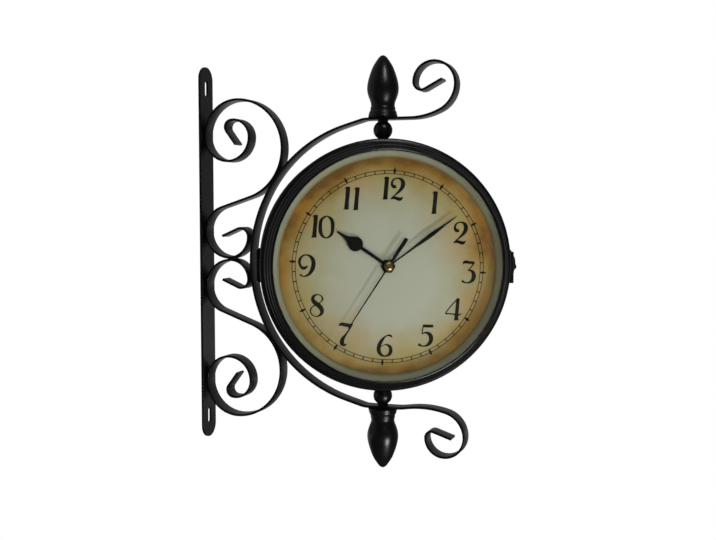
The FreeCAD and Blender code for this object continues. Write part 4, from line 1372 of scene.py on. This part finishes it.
@dataclass
class HandSet:
    """Hour, minute and second hand of one dial, with the brass cap over their middle.

    Outlines are pairs of half width and distance from the middle, the cap's are radius and height. The curve points
    are those of the spade, its shoulder, the lance and the cap's dome.
    """

    side: Side
    dial_front: float = 39.0
    thickness: float = 0.5
    hour: Hand = Hand(304.4, 2.1, 5.6)
    minute: Hand = Hand(54.1, 3.3, 5.0)
    second: Hand = Hand(213.2, 4.5, 3.6)
    stem_half: Pair = (1.4, 1.6)
    spade_centre: float = 37.0
    spade_radius: float = 6.9
    spade_turn: float = math.radians(122)
    spade_overlap: float = 0.05
    spade_shoulder: tuple[Pair, ...] = ((4.0, 43.4), (2.2, 46.8), (1.5, 50.2))
    spade_point: Pair = (0.8, 57.6)
    lance: tuple[Pair, ...] = ((0.75, 0.0), (0.85, 20.0), (1.3, 34.0), (1.95, 47.0), (1.9, 52.0), (1.3, 61.0),
                               (0.8, 70.0), (0.35, 79.0))
    needle: tuple[Pair, ...] = ((1.85, -31.0), (1.75, -20.0), (1.5, -8.0), (0.8, 0.0), (0.7, 20.0), (0.5, 68.5))
    across: tuple[float, ...] = (-1.0, -1.0, -0.55, 0.0, 0.55, 1.0, 1.0)
    crown: tuple[float, ...] = (0.0, 0.3, 0.85, 1.0, 0.85, 0.3, 0.0)
    boss_edge: Pair = (0.25, 0.35)
    boss_segments: int = 48
    cap_edge: tuple[Pair, ...] = ((0.0, 0.0), (4.3, 0.0), (4.3, 0.4))
    cap_dome: tuple[Pair, Pair, Pair] = ((3.95, 0.55), (3.096, 1.2), (1.5, 1.5))
    cap_dimple: tuple[Pair, ...] = ((1.2, 1.25), (0.0, 1.1))
    cap_sink: float = 0.15
    cap_segments: int = 64
    curve_points: tuple[int, int, int, int] = (26, 14, 60, 10)

    def spade(self) -> Array:
        """Half width along the hour hand: stem, round spade drawn out to a point, slim tip.

        Returns:
            Array of (half width, distance).
        """
        stem, neck = self.stem_half
        turn = np.linspace(math.asin(neck / self.spade_radius), self.spade_turn, self.curve_points[0])
        bulb = np.stack([self.spade_radius * np.sin(turn), self.spade_centre - self.spade_radius * np.cos(turn)], -1)
        shoulder = spline(np.array([bulb[-1], *self.spade_shoulder]), self.curve_points[1])[1:]
        foot = [(stem, 0.0), (neck, bulb[0, 1] - self.spade_overlap)]
        return np.concatenate([foot, bulb, shoulder, [self.spade_point]])

    def blade(self, outline: Array, hand: Hand) -> Shape:
        """A thin hand, slightly crowned, with a round boss, at its angle.

        Across each station the front falls away to the edges by most of the thickness.

        Args:
            outline: Array of (half width, distance).
            hand: Its place.

        Returns:
            Points and faces in case coordinates.
        """
        back = self.dial_front + hand.rise
        sideways = outline[:, :1] * np.array(self.across)
        along = np.broadcast_to(outline[:, 1:], sideways.shape)
        depth = np.broadcast_to(back + np.array(self.crown) * self.thickness, sideways.shape)
        cos, sin = math.cos(math.radians(hand.angle)), math.sin(math.radians(hand.angle))
        grid = np.stack([sideways * cos + along * sin, depth, along * cos - sideways * sin], axis=-1)
        inset, edge = self.boss_edge
        top = back + self.thickness
        boss = np.array([(0.0, back), (hand.boss, back), (hand.boss, back + edge), (hand.boss - inset, top),
                         (0.0, top)])
        return join([loft(grid), lathe(boss, self.boss_segments)])

    def cap(self) -> Shape:
        """Turned brass cap: stepped edge, low dome and a dimple in the middle.

        Returns:
            Points and faces in case coordinates.
        """
        profile = np.concatenate([self.cap_edge, arc(*self.cap_dome, self.curve_points[3]), self.cap_dimple])
        profile[:, 1] += self.dial_front + self.second.rise + self.thickness - self.cap_sink
        return lathe(profile, self.cap_segments)

    def build(self) -> None:
        """The three hands and the cap of this side."""
        name = self.side.value
        lance = spline(np.array(self.lance), self.curve_points[2])
        jobs = (("hour", self.hour, self.spade()), ("minute", self.minute, lance),
                ("second", self.second, np.array(self.needle)))
        for label, hand, outline in jobs:
            body = f"{name}_{label}"
            case_piece(body + "_blade", self.blade(outline, hand), self.side, body, HAND_PAINT, body + "_hand")
        case_piece(name + "_hub_cap", self.cap(), self.side, name + "_second", BRASS)


# Small ironwork and inner pieces


@dataclass
class Ironwork:
    """Plates cut from sheet, whose edges get a small round, and the pieces that keep their solids."""

    softened: tuple[tuple[str, str, float], ...] = (
        ("wall_bar", "bracket", 0.45), ("latch_hasp", "hasp", 0.3), ("latch_plate", "front_half", 0.25),
        ("latch_catch", "case", 0.25), ("front_hinge_leaf", "front_half", 0.2), ("rear_hinge_leaf", "case", 0.2))
    hasp_top: float = 125.0
    collar_depth: float = 1.9
    collar_height: float = -0.4
    collar_half: Pair = (7.3, 6.6)
    collar_tube: float = 2.1
    collar_rise: float = 0.9
    collar_stretch: float = 1.35
    collar_steps: tuple[int, int] = (48, 16)
    rivets: Pair = (11.4, -13.4)
    rivet_radius: float = 1.7
    rivet_foot: float = -0.2
    rivet_shoulder: float = 0.72
    rivet_crown: Pair = (0.95, 1.35)
    rivet_steps: tuple[int, int] = (24, 8)
    bevel_segments: int = 2
    flat_angle: float = math.radians(0.6)
    edge_angle: float = math.radians(40.0)
    plain: tuple[tuple[str, Finish], ...] = (
        ("weld_pads", PAINT), ("pivot_bolts", STEEL), ("pivot_bushes", BRASS), ("hinge_pin", STEEL))
    inner: tuple[tuple[str, Finish], ...] = (
        ("glass", GLASS), ("dial", CARD), ("fixing_nut", DARK_BRASS), ("housing", MOVEMENT), ("cover", MOVEMENT),
        ("battery", SLEEVE), ("battery_contacts", STEEL), ("circuit_board", BOARD), ("stator_coil", COIL),
        ("rotor", STEEL), ("intermediate_wheel", WHEEL), ("second_wheel", BRASS), ("third_wheel", WHEEL),
        ("centre_wheel", BRASS), ("motion_wheel", WHEEL), ("hour_wheel", BRASS), ("setting_knob", WHEEL))

    def soften(self, node: str, body: str, width: float) -> None:
        """A copy of a sheet piece with its edges rounded.

        Args:
            node: Node to copy.
            body: Body that carries it.
            width: Width of the rounding in mm.
        """
        mesh = frame["nodes"][node].data.copy()
        mesh.name = node + "_soft"
        work = bmesh.new()
        work.from_mesh(mesh)
        bmesh.ops.remove_doubles(work, verts=work.verts, dist=SAME_SPOT)
        bmesh.ops.dissolve_limit(work, angle_limit=self.flat_angle, verts=work.verts, edges=work.edges)
        work.to_mesh(mesh)
        work.free()
        piece = link(node + "_soft", mesh)
        bevel = piece.modifiers.new("edge", "BEVEL")
        bevel.width = width * MM
        bevel.segments = self.bevel_segments
        bevel.limit_method = "ANGLE"
        bevel.angle_limit = self.edge_angle
        smooth(mesh, SHARP_ANGLE)
        settle(piece, body, PAINT, node)

    def collar(self) -> None:
        """Raised collar round the hasp's slot and a rivet near each end of its plate.

        The collar is a round tube, stretched outwards, carried along an ellipse in the plate's plane; a rivet
        is a low dome.
        """
        steps, points = self.collar_steps
        turn = np.linspace(0.0, FULL_TURN, steps, endpoint=False)[:, None]
        ring = np.linspace(0.0, FULL_TURN, points, endpoint=False)[None, :]
        wide, tall = self.collar_half
        reach = self.collar_tube * np.cos(ring)
        depth = self.collar_depth + (wide + reach) * np.cos(turn)
        height = self.collar_height + (tall + reach) * np.sin(turn)
        lift = self.collar_rise + self.collar_stretch * self.collar_tube * np.sin(ring)
        grid = np.stack([self.hasp_top + lift + 0.0 * turn, depth, height], axis=-1)
        shapes = [(grid.reshape(-1, 3), grid_faces(steps, points, True, True))]
        low, (middle, top), (segments, count) = self.rivet_foot, self.rivet_crown, self.rivet_steps
        dome = arc((self.rivet_radius, low), (self.rivet_radius * self.rivet_shoulder, middle), (0.0, top), count)
        verts, faces = lathe(np.concatenate([[(0.0, low)], dome]), segments)
        for offset in self.rivets:
            moved = verts[:, [1, 0, 2]] + np.array([self.hasp_top, self.collar_depth, offset])
            shapes.append((moved, faces))
        case_piece("hasp_collar", join(shapes), Side.FRONT, "hasp", PAINT)

    def build(self) -> None:
        """Softened plates and the hasp's collar, then the finishes of the solids that stay."""
        for node, body, width in self.softened:
            self.soften(node, body, width)
        self.collar()
        both = [(f"{side.value}_{label}", finish) for side in Side for label, finish in self.inner]
        for node, finish in [*self.plain, *both]:
            finish.dress(frame["nodes"][node])
            LOG.info("%s keeps its solid, in %s", node, finish.name)


# Studio


@dataclass(frozen=True)
class Lamp:
    """A soft box: its place, width and height, watts and colour, and whether it gives only a sheen."""

    name: str
    place: Point
    size: Pair
    power: float
    colour: Colour
    sheen: bool = False
    aim: Point = (0.19, 0.0, 0.0)

    def build(self) -> None:
        """Puts the lamp up: a sheen lamp leaves matt surfaces dark, and a plain one isn't seen in mirrors."""
        light = bpy.data.lights.new(self.name, "AREA")
        light.shape = "RECTANGLE"
        light.size, light.size_y = self.size
        light.energy = self.power
        light.color = self.colour
        lamp = link(self.name, light)
        lamp.location = self.place
        lamp.rotation_euler = (Vector(self.aim) - Vector(self.place)).to_track_quat("-Z", "Y").to_euler()
        lamp.visible_diffuse = not self.sheen
        lamp.visible_glossy = lamp.visible_transmission = self.sheen


@dataclass
class Studio:
    """Pale floor, soft light and the camera at the photograph's view."""

    floor_z: float = -0.64
    floor_half: float = 6.0
    floor_rows: int = 25
    floor_colour: Colour = (0.88, 0.88, 0.88)
    floor_rough: float = 0.9
    floor_fade: Span = (0.55, 1.2, 0.86, 1.0)
    far_floor: Pair = (0.6, 1.8)
    eye: Point = (0.507664, -0.947159, 0.04999)
    yaw: float = math.radians(19.814)
    pitch: float = math.radians(3.612)
    roll: float = math.radians(-0.057)
    focal_pixels: float = 1032.083
    sensor: float = 36.0
    clip_start: float = 0.01
    ambient: Colour = (0.43, 0.43, 0.43 * 1.02)
    mirrored_floor: Colour = (0.05, 0.05, 0.05)
    mirrored_far_floor: Colour = (0.46, 0.47, 0.5)
    mirrored_front: Colour = (0.03, 0.031, 0.032)
    mirrored_back: Colour = (0.23, 0.245, 0.255)
    mirrored_stops: Pair = (0.3, 0.85)
    right_dimming: float = 1.2
    lamps: tuple[Lamp, ...] = (
        Lamp("side_box", (0.79, -0.174, -0.537), (0.07, 0.07), 3.2, (0.97, 0.99, 1.0)),
        Lamp("front_box", (1.43, -1.0, 0.05), (0.3, 1.0), 5.5, (0.97, 0.99, 1.0)),
        Lamp("back_box", (-1.0, 1.3, 0.9), (1.0, 0.8), 16.0, WHITE),
        Lamp("high_sheen", (0.925, -0.89, 1.26), (0.4, 0.4), 6.0, (0.95, 0.98, 1.0), True),
        Lamp("low_sheen", (0.77, -0.43, -0.545), (0.3, 0.3), 4.5, (0.95, 0.98, 1.0), True))

    def floor(self) -> None:
        """A wide pale floor that fades to white far off; in mirrored rays it is dim near by and brighter behind."""
        axis = np.linspace(-self.floor_half, self.floor_half, self.floor_rows)
        x, y = np.meshgrid(axis, axis, indexing="ij")
        grid = np.stack([x, y, np.full_like(x, self.floor_z)], axis=-1)
        faces = grid_faces(self.floor_rows, self.floor_rows, False, False)
        piece = mesh_piece("studio_floor", grid.reshape(-1, 3), faces)
        made = bpy.data.materials.new("pale_floor")
        shader = Shader.empty(made)
        path = shader.add("ShaderNodeLightPath").outputs
        spot = shader.add("ShaderNodeTexCoord").outputs["Object"]
        axes = shader.axes(spot)
        behind = shader.spread(shader.math("SUBTRACT", axes[1], axes[0]), *self.far_floor)
        tone = shader.mix(behind, self.mirrored_floor, self.mirrored_far_floor)
        glow = shader.add("ShaderNodeEmission", Strength=1.0, Color=shader.mix(path["Is Camera Ray"], tone, WHITE))
        matt = shader.add("ShaderNodeBsdfPrincipled", Base_Color=self.floor_colour, Roughness=self.floor_rough)
        fade = shader.spread(shader.measure("LENGTH", spot), *self.floor_fade)
        seen = shader.math("MULTIPLY", path["Is Camera Ray"], fade)
        share = shader.math("MAXIMUM", seen, path["Is Glossy Ray"])
        shader.add("ShaderNodeOutputMaterial", Surface=shader.either(share, matt.outputs[0], glow.outputs[0]))
        piece.data.materials.append(made)

    def world(self) -> None:
        """White to the eye, a bright back and dim front for mirrors, even soft light for the rest."""
        made = bpy.data.worlds.new("studio")
        shader = Shader.empty(made)
        axes = shader.axes(shader.add("ShaderNodeTexCoord").outputs["Generated"])
        back = shader.math("SUBTRACT", axes[1], shader.math("MULTIPLY", axes[0], self.right_dimming))
        stops = zip(self.mirrored_stops, (self.mirrored_front, self.mirrored_back))
        room = shader.ramp(shader.spread(back, -1.0, 1.0), tuple(stops))
        path = shader.add("ShaderNodeLightPath").outputs
        mirrored = shader.math("MAXIMUM", path["Is Glossy Ray"], path["Is Transmission Ray"])
        tone = shader.mix(path["Is Camera Ray"], shader.mix(mirrored, self.ambient, room), WHITE)
        sky = shader.add("ShaderNodeBackground", Color=tone, Strength=1.0)
        shader.add("ShaderNodeOutputWorld", Surface=sky.outputs[0])
        bpy.context.scene.world = made

    def camera(self) -> None:
        """Camera turned by yaw, pitch and roll as fitted to the photograph."""
        ahead = Vector((-math.sin(self.yaw) * math.cos(self.pitch), math.cos(self.yaw) * math.cos(self.pitch),
                        -math.sin(self.pitch)))
        right = Vector((math.cos(self.yaw), math.sin(self.yaw), 0.0))
        up = right.cross(ahead)
        cos, sin = math.cos(self.roll), math.sin(self.roll)
        side, top = right * cos + up * sin, up * cos - right * sin
        data = bpy.data.cameras.new("photo_view")
        data.sensor_fit = "HORIZONTAL"
        data.sensor_width = self.sensor
        data.lens = self.focal_pixels * self.sensor / IMAGE_WIDTH
        data.clip_start = self.clip_start
        eye = link("photo_view", data)
        columns = [(*axis, 0.0) for axis in (side, top, -ahead)] + [(*self.eye, 1.0)]
        eye.matrix_world = Matrix(columns).transposed()
        bpy.context.scene.camera = eye

    def build(self) -> None:
        """Floor, world, lamps, camera and the plain view transform."""
        self.floor()
        self.world()
        for lamp in self.lamps:
            lamp.build()
        self.camera()
        bpy.context.scene.view_settings.view_transform = "Standard"


def main() -> None:
    """Builds bracket, case halves, dials, hands, small ironwork and studio in order."""
    logging.basicConfig(level=logging.INFO, format="%(message)s")
    Bracket().build()
    for side in Side:
        CaseHalf(side).build()
        DialPrint(side).build()
        HandSet(side).build()
    Ironwork().build()
    Studio().build()


if __name__ == "__main__":
    main()
